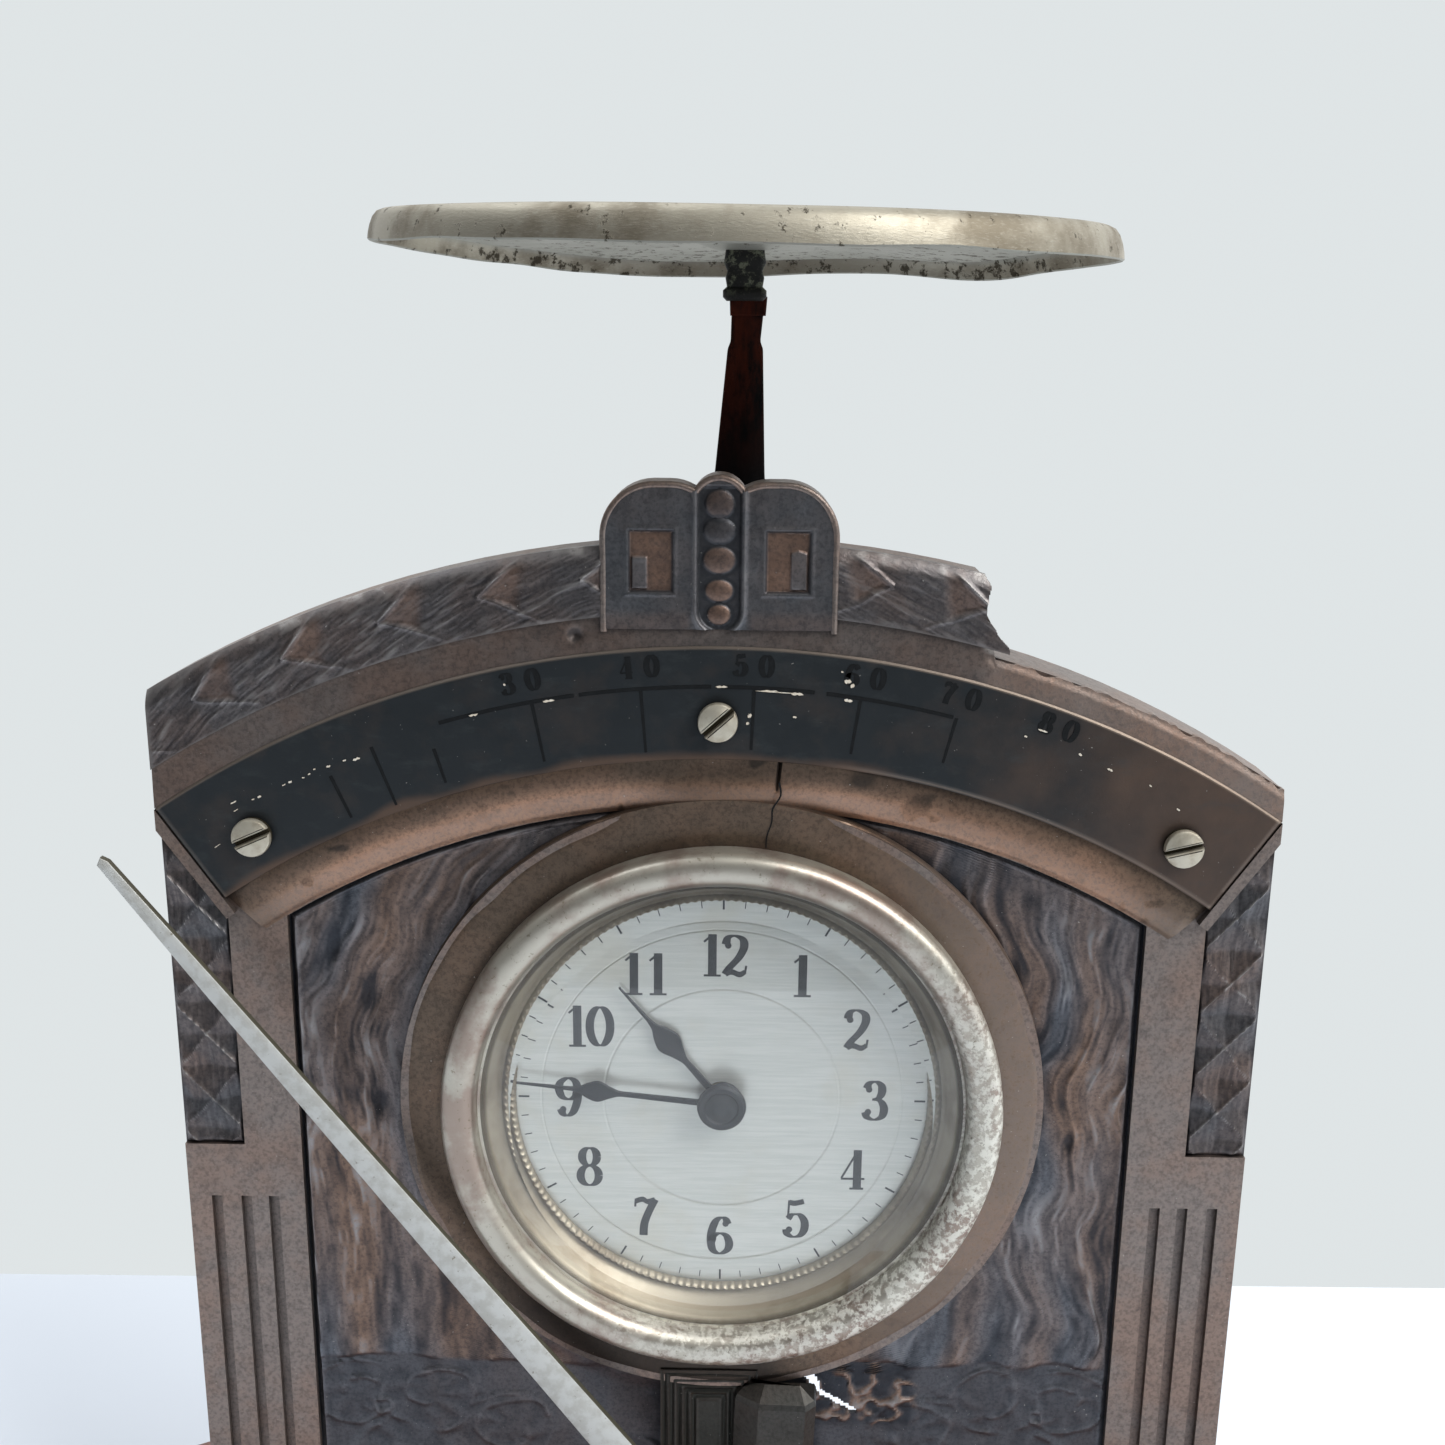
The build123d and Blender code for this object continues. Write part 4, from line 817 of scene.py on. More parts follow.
def leaf_field(x, z):
    """Leaf scrolls: overlapping soft lobes with rolled edges that curl in to a small eye."""
    x, z = np.abs(x) + 0.9 * noise(x, z, 4.5, 44) + 0.3 * noise(x, z, 1.6, 46), z + 0.9 * noise(x, z, 5.0, 45)
    height, tone = 0 * x + 0.1 * noise(x, z, 3, 44), 0 * x - 0.5
    for number, (cx, cz, size) in enumerate(CURLS):
        gap = np.hypot(x - cx, (z - cz) * 1.15)
        turn = np.arctan2(z - cz, x - cx) + 1.7 * number
        inside = ease(size - gap, -0.3, 0.8)
        spiral = gap - size * (0.35 + 0.09 * ((turn / math.pi) % 2.0) * 3)
        curl = ridge(spiral, 0.45)
        edge = ridge(gap - size + 0.4, 0.5) * (0.5 + 0.5 * np.sin(turn * 1.5))
        vein = np.cos(turn * 7 + gap * 0.9) * ease(gap, 1.5, 3.0)
        leaf = 0.25 + 0.22 * curl + 0.28 * edge - 0.03 * gap + 0.06 * vein
        height = height * (1 - inside) + leaf * inside
        # Painted highlights on the curls, the rolled edges and, below, the eye.
        tone = tone * (1 - inside) + (0.28 * curl + 0.3 * edge + 0.1 * vein - 0.62) * inside
    eye = ridge(np.hypot(x - 48.0, z + 50.8) - 1.15, 0.35)
    return height + 0.3 * eye, tone + 0.5 * eye


def strands(x, z):
    """Height, tone and warmth of the flowing strands."""
    flow = wood_flow(x, z)
    broad = noise(flow, z * 0.10, 3.1, 27)
    thin = noise(flow, z * 0.12, 1.3, 28)
    hair = noise(flow, z * 0.2, 0.5, 29)
    strength = 0.75 + 0.5 * noise(x, z * 0.5, 8, 9)
    crest = ridge(broad - 0.1, 0.2) * strength
    height = -0.82 + 0.34 * crest + 0.14 * broad + 0.12 * thin + 0.05 * hair
    # Painted highlights on the strand crests and thin ridges; darker in the troughs.
    tone = 0.62 * crest * (0.5 + 0.8 * hair) + 0.42 * ridge(thin, 0.13) * strength - 0.34 + 0.35 * hair
    tone = tone - 0.4 * thin - 0.35 * ease(-broad, 0.1, 0.9)
    warm = 0.42 + 0.75 * noise(flow, z * 0.09, 4.6, 30) + 0.3 * noise(x, z, 12, 10)
    return height, tone, warm


def crazing(x, z):
    """Crazed patch low on the right: how much a place is in it, its web of cracks and its height."""
    fringe = ridge(np.hypot(np.maximum(15 - x, 0) + np.maximum(x - 28.5, 0),
                            np.maximum(z + 43.2, 0) + np.maximum(-51.5 - z, 0)), 1.2)
    crazed = np.abs(noise(x, z, 3.6, 53) + 0.25 * noise(x, z, 1.3, 52))
    web = ridge(crazed, 0.14) * fringe
    return fringe, web, fringe * (0.25 * ease(crazed, 0, 0.5) - 0.1) + 0.5 * web


def panel_shape(x, z):
    """Panel beside the clock: strands above, leaf scrolls below, a lip along its outer border."""
    radius, _ = arc_place(x, z)
    boss = np.hypot(x - CLOCK_X, z) - BOSS_R
    border = np.minimum(PANEL_HALF - np.abs(x), PANEL_R - radius)
    height, tone, warm = strands(x, z)
    for px, pz, wide, tall in PITS:
        pit = ridge(ellipse_gap(x, z, px, pz, wide, tall), 1.0)
        height, tone = height - 0.4 * pit, tone - 1.3 * pit
    leaf_height, leaf_tone = leaf_field(x, z)
    low = ease(-z - 42.0 - 0.8 * noise(x, 0 * z, 5, 11), 0, 0.8)
    height = height * (1 - low) + (-1.0 + leaf_height) * low
    tone = tone * (1 - low) + leaf_tone * low
    warm = np.clip(warm, 0, 1) * (1 - low) + 0.12 * low
    fringe, web, rise = crazing(x, z)
    height = height + rise
    tone = tone - 0.5 * fringe + 1.5 * web
    warm = np.clip(warm + 1.4 * web, 0, 1)
    lip = ridge(border - 0.8, 0.3) * np.where(x < 0, 1.0, 0.35)
    open_field = ease(border, 0, 1.2)
    edge = ease(border, 0.3, 1.4)
    height = np.maximum(height * open_field - 1.1 * (1 - open_field) + 0.35 * lip, -1.13)
    # Painted highlight on the lip and painted shadow along the panel's edge.
    tone = tone * edge + 0.22 * lip - 0.9 * ease(0.45 - border, 0, 0.3)
    merge = ease(4.5 - boss, 0, 4.5) * (x < 0)
    height, tone = height + 0.85 * merge, tone * (1 - 0.8 * merge) - 0.12 * merge
    warm = warm * edge * (1 - merge) + 0.15 * merge
    return height, {"tone": np.clip(tone, -1, 1), "warm": warm}


def in_hole(x, z):
    """Jagged crack where daylight shows beside the loose fragment."""
    start = to_line(x, z, 14.4, -44.6, 15.7, -47.2)
    run = to_line(x, z, 15.7, -47.2, 20.6, -50.3)
    rag = 0.22 * noise(x, z, 0.9, 61)
    return (np.minimum(start - 0.1, run) < 0.62 + rag) & (z < -44.0)


def panel_side(sign):
    """Inner and outer edges of a panel; sign is -1 on the left and 1 on the right."""
    def z_of(t):
        return PANEL_LOW + (PANEL_HIGH - PANEL_LOW) * t

    def inner(t):
        z = z_of(t)
        ring_x = np.sqrt(np.clip(BOSS_R ** 2 - z ** 2, 0, None))
        return sign * np.maximum(ring_x + sign * CLOCK_X, PANEL_GAP), z

    def outer(t):
        z = z_of(t)
        reach = np.sqrt(np.clip(PANEL_R ** 2 - (z + DROP) ** 2, 0, None))
        return sign * np.minimum(reach, PANEL_HALF), z

    return inner, outer


def lattice_shape(sign):
    """Diamond net of a side wing, sunk at its borders."""
    def shape(x, z):
        across = np.abs(x) - LATTICE_IN
        wobble = noise(x, z, 2.5, 70 + sign)
        height, tone, smooth = lattice_net(z, across, wobble)
        rim = np.minimum(ease(across, 0.0, 0.5), ease(z - LATTICE_LOW, 0.0, 0.6))
        rim = np.minimum(rim, ease(HALF_W - LATTICE_IN - across, 0, 0.7))
        height = height * rim - 0.65 * (1 - rim)
        tone = tone * rim - 0.7 * (1 - rim)
        return height, {"tone": np.clip(tone, -1, 1), "warm": smooth}
    return shape


def upright(x, low, high):
    """Straight vertical edge."""
    return lambda t: (0 * t + x, low + (high - low) * t)


def lattice_side(sign):
    """Inner and outer edges of a lattice, whose top slants up towards the outside."""
    return upright(sign * LATTICE_IN, LATTICE_LOW, 27.2), upright(sign * HALF_W, LATTICE_LOW, 40.6)


def column_shape(x, z):
    """Upright column of nested oblong frames above and below the pointer arbor."""
    depth = np.minimum(7.0 - np.abs(x + 0.4), -41.4 - z)
    step = np.clip(depth / 1.06, 0, 5.2)
    wave = 0.5 + 0.5 * np.cos(2 * math.pi * step)
    height = 2.0 + 0.30 * wave + 0.03 * noise(x, z, 2, 80) - 0.1 * step
    tone = 0.12 * ridge(step - np.round(step), 0.14) - 0.7 * (1 - wave) - 0.45
    return height, {"tone": tone, "warm": 0 * x}


relief("ornament_band_left", arch(BAND_IN, -HALF_W, -15), arch(BAND_OUT, -HALF_W, -15), 420, 64,
       band_shape(False, -57.6, 13.3), band_patina)


def on_stub(x, z):
    """The band right of the crest ends in a ragged break."""
    reach = 34.3 + 0.45 * noise(z, 0 * z, 1.3, 90) + np.clip(68.5 - z, 0, None) * 0.75
    return x < reach


relief("ornament_band_stub", arch(BAND_IN, 15, 39.5), arch(BAND_OUT, 15, 39.5), 170, 64,
       band_shape(True, -22.5, 12.6), band_patina, keep=on_stub)
relief("smooth_border", arch(PLATE_OUT + 0.02, -HALF_W, HALF_W), arch(broken_radius, -HALF_W, HALF_W),
       500, 16, border_shape, casting)
relief("copper_strip", swing(PANEL_R, -33.2, 33.2), swing(PLATE_IN, -PLATE_END, PLATE_END), 420, 32,
       strip_shape, strip_copper)
relief("number_plate_face", swing(PLATE_IN, -PLATE_END, PLATE_END), swing(PLATE_OUT, -PLATE_END, PLATE_END),
       360, 60, plate_shape, black_plate, slot="blackened_plate", replaces=["number_plate"], back=0.0)
for sign, side in ((-1, "left"), (1, "right")):
    hole = (lambda x, z: ~in_hole(x, z)) if sign > 0 else None
    relief("wood_panel_" + side, *panel_side(sign), 380, 130, panel_shape, panel_patina, back=1.7, keep=hole)
    relief("lattice_" + side, *lattice_side(sign), 130, 40, lattice_shape(sign), band_patina, back=1.6)
column_low, column_high = BASE_TOP + 10, BASE_TOP + 56.6
relief("nested_column", upright(-7.4, column_low, column_high), upright(6.6, column_low, column_high),
       190, 76, column_shape, fragment_iron, keep=lambda x, z: np.hypot(x, z + DROP) > 4.3)


# ---------------------------------------------------------------- crest
CREST_HALF, CREST_LOW = 15.0, 67.0
LOBE_X, LOBE_Z, LOBE_R = 8.4, 79.0, 6.6
BUMP_Z, BUMP_R = 82.9, 3.6


def crest_top(x):
    """Upper edge of the crest: two round-shouldered lobes and the bump between them."""
    past = np.maximum(np.maximum(np.abs(x) - LOBE_X, LOBE_X - 2 - np.abs(x)), 0)
    lobe = LOBE_Z + np.sqrt(np.clip(LOBE_R ** 2 - past ** 2, 0, None))
    bump = BUMP_Z + np.sqrt(np.clip(BUMP_R ** 2 - x ** 2, 0, None))
    return np.maximum(lobe, np.where(np.abs(x) < BUMP_R, bump, 0))


# Beads of the crest: height, half width, half height, tone and warmth.
BEADS = [(83.0, 1.9, 1.9, 0.2, 0.55), (79.6, 2.1, 1.7, 0.15, 0.1), (75.9, 2.2, 1.8, 0.5, 0.7),
         (72.0, 1.9, 1.5, 0.55, 0.8), (68.9, 1.6, 1.4, 0.55, 0.8)]


def crest_shape(x, z):
    """Two sunk frames with hooks in them, and a row of beads in the slot between them."""
    height = 1.4 + 0.05 * noise(x, z, 3, 100)
    tone = -0.2 + 0.15 * noise(x, z, 2.0, 101)
    warm = 0.05 + 0 * x
    frame_gap = np.maximum(np.abs(np.abs(x) - 8.7) - 2.9, np.abs(z - 75.7) - 4.0)
    inside = ease(-frame_gap, 0.0, 0.35)
    height = height - 0.32 * inside + 0.08 * ridge(frame_gap - 0.2, 0.25)
    tone = tone + 0.14 * ridge(frame_gap - 0.25, 0.2) - 0.8 * ridge(frame_gap + 0.15, 0.2)
    warm = warm + 0.9 * inside
    hook = np.where(x < 0, ease(-x - 9.0, 0, 0.3) * ease(76.5 - z, 0, 0.5),
                    ease(x - 8.9, 0, 0.3) * ease(77.4 - z - 0.3 * np.abs(x - 10), 0, 0.4))
    hook = hook * ease(-frame_gap - 0.35, 0, 0.3)
    height = height + 0.25 * hook
    tone = tone + 0.15 * hook + 0.1 * inside
    warm = warm - 0.75 * hook
    column = np.maximum(np.abs(x) - 2.9, np.where(z < 69.5, np.hypot(x, z - 69.5) - 2.9, -9.0))
    slot = ease(-column, 0, 0.4) * ease(85.4 - z, 0, 0.5)
    height = height - 0.35 * slot + 0.3 * ridge(column - 0.25, 0.35) * ease(85.5 - z, 0, 0.8)
    tone = tone + 0.4 * ridge(column - 0.3, 0.22) * ease(85.5 - z, 0, 0.8) - 0.55 * slot
    for bead_z, wide, tall, bright, glow in BEADS:
        q = (x / wide) ** 2 + ((z - bead_z) / tall) ** 2
        dome = np.sqrt(np.clip(1 - q, 0, None))
        height = np.maximum(height, 1.0 + 0.5 * dome)
        hot = ease(dome, 0.15, 0.6)
        tone = tone + bright * hot - 0.5 * ridge(q - 1.25, 0.3)
        warm = warm + glow * hot
    lower = ease(70.0 - z, 0, 2.0) * ease(np.abs(x), 3.2, 4.5)
    warm = warm + 0.3 * lower
    return height, {"tone": np.clip(tone, -1, 1), "warm": np.clip(warm, 0, 1)}


def crest_x(t):
    return (CREST_HALF - 0.1) * (2 * t - 1)


relief("crest_field", lambda t: (crest_x(t), 0 * t + CREST_LOW),
       lambda t: (crest_x(t), crest_top(crest_x(t)) - 0.2), 220, 150, crest_shape, crest_patina)
side_z = np.linspace(CREST_LOW - 0.1, LOBE_Z - 0.4, 12)
shoulder_turn = np.linspace(0, math.pi / 2, 16)
top_x = np.linspace(0.4 - LOBE_X, 0, 40)
rim_x = np.concatenate([0 * side_z - CREST_HALF, -LOBE_X - LOBE_R * np.cos(shoulder_turn), top_x])
rim_z = np.concatenate([side_z, LOBE_Z + LOBE_R * np.sin(shoulder_turn), crest_top(top_x)])
rim_x, rim_z = np.concatenate([rim_x, -rim_x[-2::-1]]), np.concatenate([rim_z, rim_z[-2::-1]])
rim = tube("crest_rim", np.stack([rim_x * 0.982, 0 * rim_x - 1.1, rim_z - 0.28], 1), 0.46, casting)
layer(rim.data, "tone", np.full(len(rim.data.vertices), 0.05))


# ---------------------------------------------------------------- clock
def boss_dents(angle, radius, depth):
    """The boss is dented; its edge is square where it runs into the strip above it."""
    x, z = radius * np.cos(angle), radius * np.sin(angle)
    square = ease(z, 39.5, 43.0) * (depth < -0.1)
    return radius, depth * (1 - square) - 2.1 * square - 0.07 * noise(x, z, 6, 110)


boss_profile = [(36.4, 0.4), (36.4, -1.95), (38.6, -2.1), (42.8, -2.1), (43.6, -1.95), (44.2, -1.5),
                (44.45, -0.8), (44.5, 0.4)]
boss = lathe("clock_boss", boss_profile, CLOCK_X, 0, strip_copper, 240, shift=boss_dents)
spots = np.array([v.co for v in boss.data.vertices]) / MM
boss_turn = np.degrees(np.arctan2(spots[:, 2] - CLOCK_Z, spots[:, 0] - CLOCK_X))
# Painted light: the boss is painted lighter towards the right, and painted shade darkens its lower left.
boss_low_left_shade = ease(-boss_turn, 70, 84) * ease(150 + boss_turn, 0, 25)
layer(boss.data, "tone", 0.5 * ease(spots[:, 0], 5, 40) - 0.16 - 0.9 * boss_low_left_shade)
bezel_back = back_of("clock_bezel")
shoulder = [(36.5 + 1.75 * math.cos(a), bezel_back - 3.0 - 1.6 * math.sin(a))
            for a in np.linspace(0, math.pi / 2, 8)]
inner_lip = [(35.4, bezel_back - 4.62), (34.6, bezel_back - 4.35), (34.0, bezel_back - 3.85),
             (33.6, bezel_back - 3.1)]
lathe("bezel", [(37.0, bezel_back + 0.1), (38.15, bezel_back)] + shoulder + inner_lip
      + [(33.5, bezel_back - 1.2), (33.5, bezel_back + 0.1)],
      CLOCK_X, 0, worn_nickel, 200, slot="nickel", replaces=["clock_bezel"],
      shift=lambda a, r, d: (r, d + 0.05 * noise(r * np.cos(a), r * np.sin(a), 3, 111)))
glass_front = front_of("clock_glass")
glass_back = glass_front + 2.2
glass_profile = [(0, glass_back), (33.45, glass_back), (33.45, glass_front + 1.8), (33.3, glass_front + 1.7),
                 (28.7, glass_front + 0.03), (28.4, glass_front), (0, glass_front)]
lathe("bevelled_glass", glass_profile, CLOCK_X, 0, clear_glass, 160, slot="glass",
      replaces=["clock_glass"], sharp=6)

RING_BEADS = 170


def milled(angle, radius, depth):
    """Fine beads along the ring's inner edge."""
    near = 0.16 * ridge(radius - 29.0, 0.35)
    return (radius - near * np.cos(RING_BEADS * angle),
            depth - near * np.abs(np.cos(RING_BEADS / 2 * angle)))


ring_profile = [(33.0, -3.0), (33.0, 1.1), (28.5, 1.5), (28.55, 0.7), (28.75, 0.4), (29.0, 0.3), (29.25, 0.4),
                (29.5, 0.65), (29.8, 0.6), (30.3, 0.1), (31.6, -1.6), (32.4, -2.9)]
lathe("sight_ring", ring_profile, CLOCK_X, 0, sight_brass, 1020, slot="sight_brass",
      replaces=["clock_sight_ring"], shift=milled, sharp=50)
dial_front = front_of("clock_dial")
DIAL_STEPS = [(2.6, 0.5), (2.6, 0), (16.1, 0), (16.35, 0.06), (16.6, 0), (24.8, 0), (25.0, 0.05), (25.2, 0),
              (31.4, 0.05), (31.4, 0.5)]
lathe("dial", [(radius, dial_front + sunk) for radius, sunk in DIAL_STEPS], CLOCK_X, 0, silvered, 128,
      slot="silvered_dial", replaces=["clock_dial"], sharp=12)


def loop(wide, z, tall, points):
    """Closed oval stroke about the middle of a digit's box."""
    return [(0.3 + wide * math.cos(a), z + tall * math.sin(a)) for a in np.linspace(0, 2 * math.pi, points)]


SIX = [(0.47, 0.80), (0.42, 0.92), (0.32, 0.965), (0.19, 0.87), (0.10, 0.62), (0.08, 0.36), (0.13, 0.13),
       (0.29, 0.035), (0.46, 0.13), (0.51, 0.30), (0.44, 0.49), (0.29, 0.56), (0.15, 0.49), (0.10, 0.36)]
TWO = [(0.08, 0.76), (0.14, 0.92), (0.29, 0.97), (0.46, 0.88), (0.49, 0.70), (0.38, 0.46), (0.18, 0.22),
       (0.07, 0.05)]
THREE_TOP = [(0.09, 0.80), (0.16, 0.93), (0.30, 0.97), (0.43, 0.87), (0.44, 0.70), (0.36, 0.57), (0.23, 0.53)]
THREE_LOW = [(0.23, 0.53), (0.40, 0.50), (0.50, 0.33), (0.46, 0.12), (0.29, 0.03), (0.13, 0.09), (0.08, 0.22)]
FIVE_LOW = [(0.12, 0.50), (0.22, 0.60), (0.38, 0.60), (0.50, 0.44), (0.50, 0.22), (0.40, 0.07), (0.24, 0.03),
            (0.11, 0.11), (0.09, 0.22)]
# Strokes of each digit in a box 0.6 wide and 1 high. A "ball" is a round dot.
DIGITS = {
    "0": [("pen", loop(0.23, 0.5, 0.46, 25))],
    "1": [("pen", [(0.33, 0.0), (0.33, 1.0)]), ("thin", [(0.14, 0.82), (0.33, 0.99)]),
          ("thin", [(0.14, 0.02), (0.52, 0.02)])],
    "2": [("ball", (0.14, 0.74)), ("pen", TWO),
          ("bold", [(0.08, 0.06), (0.22, 0.11), (0.40, 0.05), (0.52, 0.12)]),
          ("thin", [(0.52, 0.10), (0.545, 0.26)])],
    "3": [("ball", (0.15, 0.78)), ("pen", THREE_TOP), ("pen", THREE_LOW), ("ball", (0.14, 0.22))],
    "4": [("pen", [(0.41, 0.0), (0.41, 1.0)]), ("thin", [(0.41, 0.98), (0.05, 0.29)]),
          ("thin", [(0.04, 0.27), (0.58, 0.27)]), ("thin", [(0.24, 0.02), (0.56, 0.02)])],
    "5": [("bold", [(0.14, 0.92), (0.28, 0.90), (0.48, 0.95)]), ("thin", [(0.14, 0.97), (0.12, 0.50)]),
          ("pen", FIVE_LOW), ("ball", (0.15, 0.22))],
    "6": [("pen", SIX), ("ball", (0.42, 0.81))],
    "7": [("bold", [(0.08, 0.90), (0.24, 0.95), (0.36, 0.89), (0.53, 0.95)]),
          ("thin", [(0.08, 0.96), (0.07, 0.76)]),
          ("pen", [(0.53, 0.95), (0.38, 0.62), (0.28, 0.32), (0.26, 0.02)])],
    "8": [("pen", loop(0.17, 0.745, 0.215, 21)), ("pen", loop(0.21, 0.265, 0.245, 21))],
    "9": [("pen", [(0.6 - x, 1 - z) for x, z in SIX]), ("ball", (0.18, 0.19))],
}
# Half widths of a stroke's upright and level stretches.
PEN = {"pen": (0.078, 0.018), "thin": (0.02, 0.02), "bold": (0.02, 0.055)}


def glyph_strokes(text, height, x, z, turn=0.0, spacing=0.66, weight=1.0):
    """Paths with half widths for a line of digits centred at a place, turned clockwise in degrees."""
    strokes = []
    start = -0.5 * (spacing * (len(text) - 1) + 0.6)
    c, s = math.cos(math.radians(turn)), math.sin(math.radians(turn))

    def put(px, pz):
        return np.stack([x + px * c + pz * s, z - px * s + pz * c], -1)

    for number, digit in enumerate(text):
        for kind, path in DIGITS[digit]:
            if kind == "ball":
                across = np.linspace(-0.0749, 0.0749, 11)
                px, pz = path[0] + across, np.full(11, path[1])
                half = np.sqrt(0.075 ** 2 - across ** 2)
            else:
                path = smooth_path(path, 5) if len(path) > 2 else np.asarray(path, float)
                run = np.gradient(path, axis=0)
                run /= np.linalg.norm(run, axis=1)[:, None]
                px, pz = path[:, 0], path[:, 1]
                half = np.hypot(PEN[kind][0] * run[:, 1], PEN[kind][1] * run[:, 0]) * weight
            centre = put((px + start + number * spacing) * height, (pz - 0.5) * height)
            strokes.append((centre, half * height))
    return strokes


def drawn(name, strokes, lift, material, **where):
    """Flat closed strips of ink, each a hair above the last."""
    points, faces = [], []
    for number, (path, half) in enumerate(strokes):
        run = np.gradient(path, axis=0)
        run /= np.linalg.norm(run, axis=1)[:, None]
        side = np.stack([-run[:, 1], run[:, 0]], 1) * half[:, None]
        count, first = len(path), len(points)
        front = lift - 0.03 - 0.002 * (number % 5)
        for edge in (path + side, path - side):
            for depth in (front, lift + 0.02):
                points.extend(at(edge[:, 0], depth, edge[:, 1]))
        a, b, c, d = (first + k * count for k in range(4))
        for i in range(count - 1):
            for p, q in ((a, c), (c, d), (d, b), (b, a)):
                faces.append([p + i, q + i, q + i + 1, p + i + 1])
        for i in (0, count - 1):
            faces.append([a + i, b + i, d + i, c + i])
    return make_piece(name, points, faces, material, **where)


numerals = []
for hour in range(1, 13):
    x, z = about_clock(21.3, 30 * hour)
    numerals += glyph_strokes(str(hour), 6.1, x, z, spacing=0.54 if hour > 9 else 0.6, weight=1.22)
drawn("dial_numerals", numerals, dial_front, numeral_ink, slot="silvered_dial")
ticks = []
for minute in range(60):
    inner, outer, half = (26.7, 28.2, 0.13) if minute % 5 == 0 else (27.0, 28.0, 0.06)
    ends = np.array([about_clock(r, 6 * minute) for r in (inner, outer)])
    ticks.append((ends, np.full(2, half)))
drawn("minute_ticks", ticks, dial_front, numeral_ink, slot="silvered_dial")


def hand_outline(length, bulb_at, bulb, stem):
    """Pear-shaped hand that points up: a collar, a narrow stem, the pear and a needle."""
    pear = [(stem * 0.8, bulb_at - bulb * 2.0), (bulb * 0.55, bulb_at - bulb * 1.15), (bulb, bulb_at - 0.1),
            (bulb * 0.72, bulb_at + bulb * 0.95), (bulb * 0.3, bulb_at + bulb * 1.7),
            (0.26, bulb_at + bulb * 2.5)]
    right = [(2.9 * math.cos(a), 2.9 * math.sin(a)) for a in np.linspace(-math.pi / 2, 0.9, 12)]
    right += [(stem, 2.5), (stem * 0.8, bulb_at - bulb * 2.2)]
    right += [tuple(p) for p in smooth_path(pear, 5)[1:]] + [(0.12, length)]
    return np.array(right + [(-x, z) for x, z in reversed(right) if x > 1e-6])


def hand(name, node, turns, body, *sizes):
    outline = hand_outline(*sizes)
    c, s = math.cos(2 * math.pi * turns), math.sin(2 * math.pi * turns)
    x, z = CLOCK_X + outline[:, 0] * c + outline[:, 1] * s, outline[:, 1] * c - outline[:, 0] * s
    low, high = front_of(node), back_of(node)
    loft(name, np.stack([x, z], 1), [(0, high), (0, low + 0.1), (0.06, low + 0.02), (0.1, low)], hand_blue,
         body=body, slot="hand_blue", replaces=[node])


hand("hour_hand_pear", "hour_hand", (HOUR + MINUTE / 60 - HOUR_LAG) / 12, "hour_work", 21.9, 11.4, 1.75, 0.5)
hand("minute_hand_pear", "minute_hand", MINUTE / 60, "minute_work", 28.4, 17.2, 1.5, 0.42)
hub_front = front_of("hand_hub")
CAP_STEPS = [(0, 1.25), (3.3, 1.25), (3.4, 1.0), (3.3, 0.5), (3.0, 0.25), (2.4, 0.3), (2.2, 0.5), (1.6, 0.4),
             (1.2, 0.05), (0.8, 0), (0, 0)]
PIN_STEPS = [(0, 0.1), (0.55, 0.1), (0.5, 0.001), (0, 0.0005)]
lathe("hand_cap", [(radius, hub_front + sunk) for radius, sunk in CAP_STEPS], CLOCK_X, 0, hand_blue, 64,
      body="minute_work", slot="hand_blue", replaces=["hand_hub"])
lathe("hand_cap_pin", [(radius, hub_front + sunk) for radius, sunk in PIN_STEPS], CLOCK_X, 0, screw_nickel,
      32, body="minute_work", slot="mechanism_steel")


# ---------------------------------------------------------------- number plate marks and screws
plate_top = -1.28
marks = []
for number, angle in (("30", -11.3), ("40", -4.5), ("50", 2.0), ("60", 8.35), ("70", 13.9), ("80", 19.8)):
    marks += glyph_strokes(number, 2.9, *about_arbor(130.6, angle), angle, 1.15, 1.7)
for start, end in ((-16.5, -8.4), (-8.1, -0.4), (0.2, 5.6), (6.3, 13.8)):
    line = np.stack(about_arbor(127.7, np.linspace(start, end, int((end - start) * 2))), 1)
    marks.append((line, np.full(len(line), 0.24)))
UPRIGHTS = [(-23.8, 125.8, 119.6), (-20.8, 127.4, 119.0), (-17.3, 124.6, 119.8), (-10.9, 127.7, 119.6),
            (-4.5, 127.7, 119.2), (2.1, 127.7, 119.4), (8.3, 127.7, 120.2), (14.0, 127.7, 121.5)]
for angle, high, low in UPRIGHTS:
    marks.append((np.array([about_arbor(r, angle) for r in (high, low)]), np.array([0.22, 0.16])))
drawn("plate_marks", marks, plate_top, tick_ink, slot="blackened_plate")

# Worn flecks of the plate: angle, radius less 1, length and half width.
FLECKS = [(-14.4, 126.6, 1.2, 0.14), (-9.9, 126.5, 1.5, 0.16), (0.2, 126.7, 1.5, 0.15),
          (3.0, 126.4, 2.2, 0.1), (4.6, 126.3, 1.6, 0.2), (3.4, 126.3, 5.5, 0.06), (1.9, 123.0, 0.5, 0.3),
          (1.8, 121.9, 0.4, 0.2), (7.4, 128.7, 0.9, 0.28), (7.7, 128.2, 0.5, 0.3), (7.6, 126.2, 1.1, 0.2),
          (7.0, 129.8, 0.3, 0.1), (-21.9, 125.6, 1.0, 0.16), (-22.6, 126.0, 0.5, 0.1),
          (-12.2, 129.6, 0.3, 0.14), (19.0, 128.4, 1.3, 0.12), (18.2, 127.0, 0.4, 0.12),
          (21.6, 127.2, 0.5, 0.16), (23.6, 126.9, 0.8, 0.14), (4.6, 123.2, 0.5, 0.14),
          (-32.2, 123.4, 1.0, 0.06), (-29.8, 127.3, 0.9, 0.1), (26.2, 127.3, 0.4, 0.1),
          (28.4, 126.2, 0.5, 0.12)]
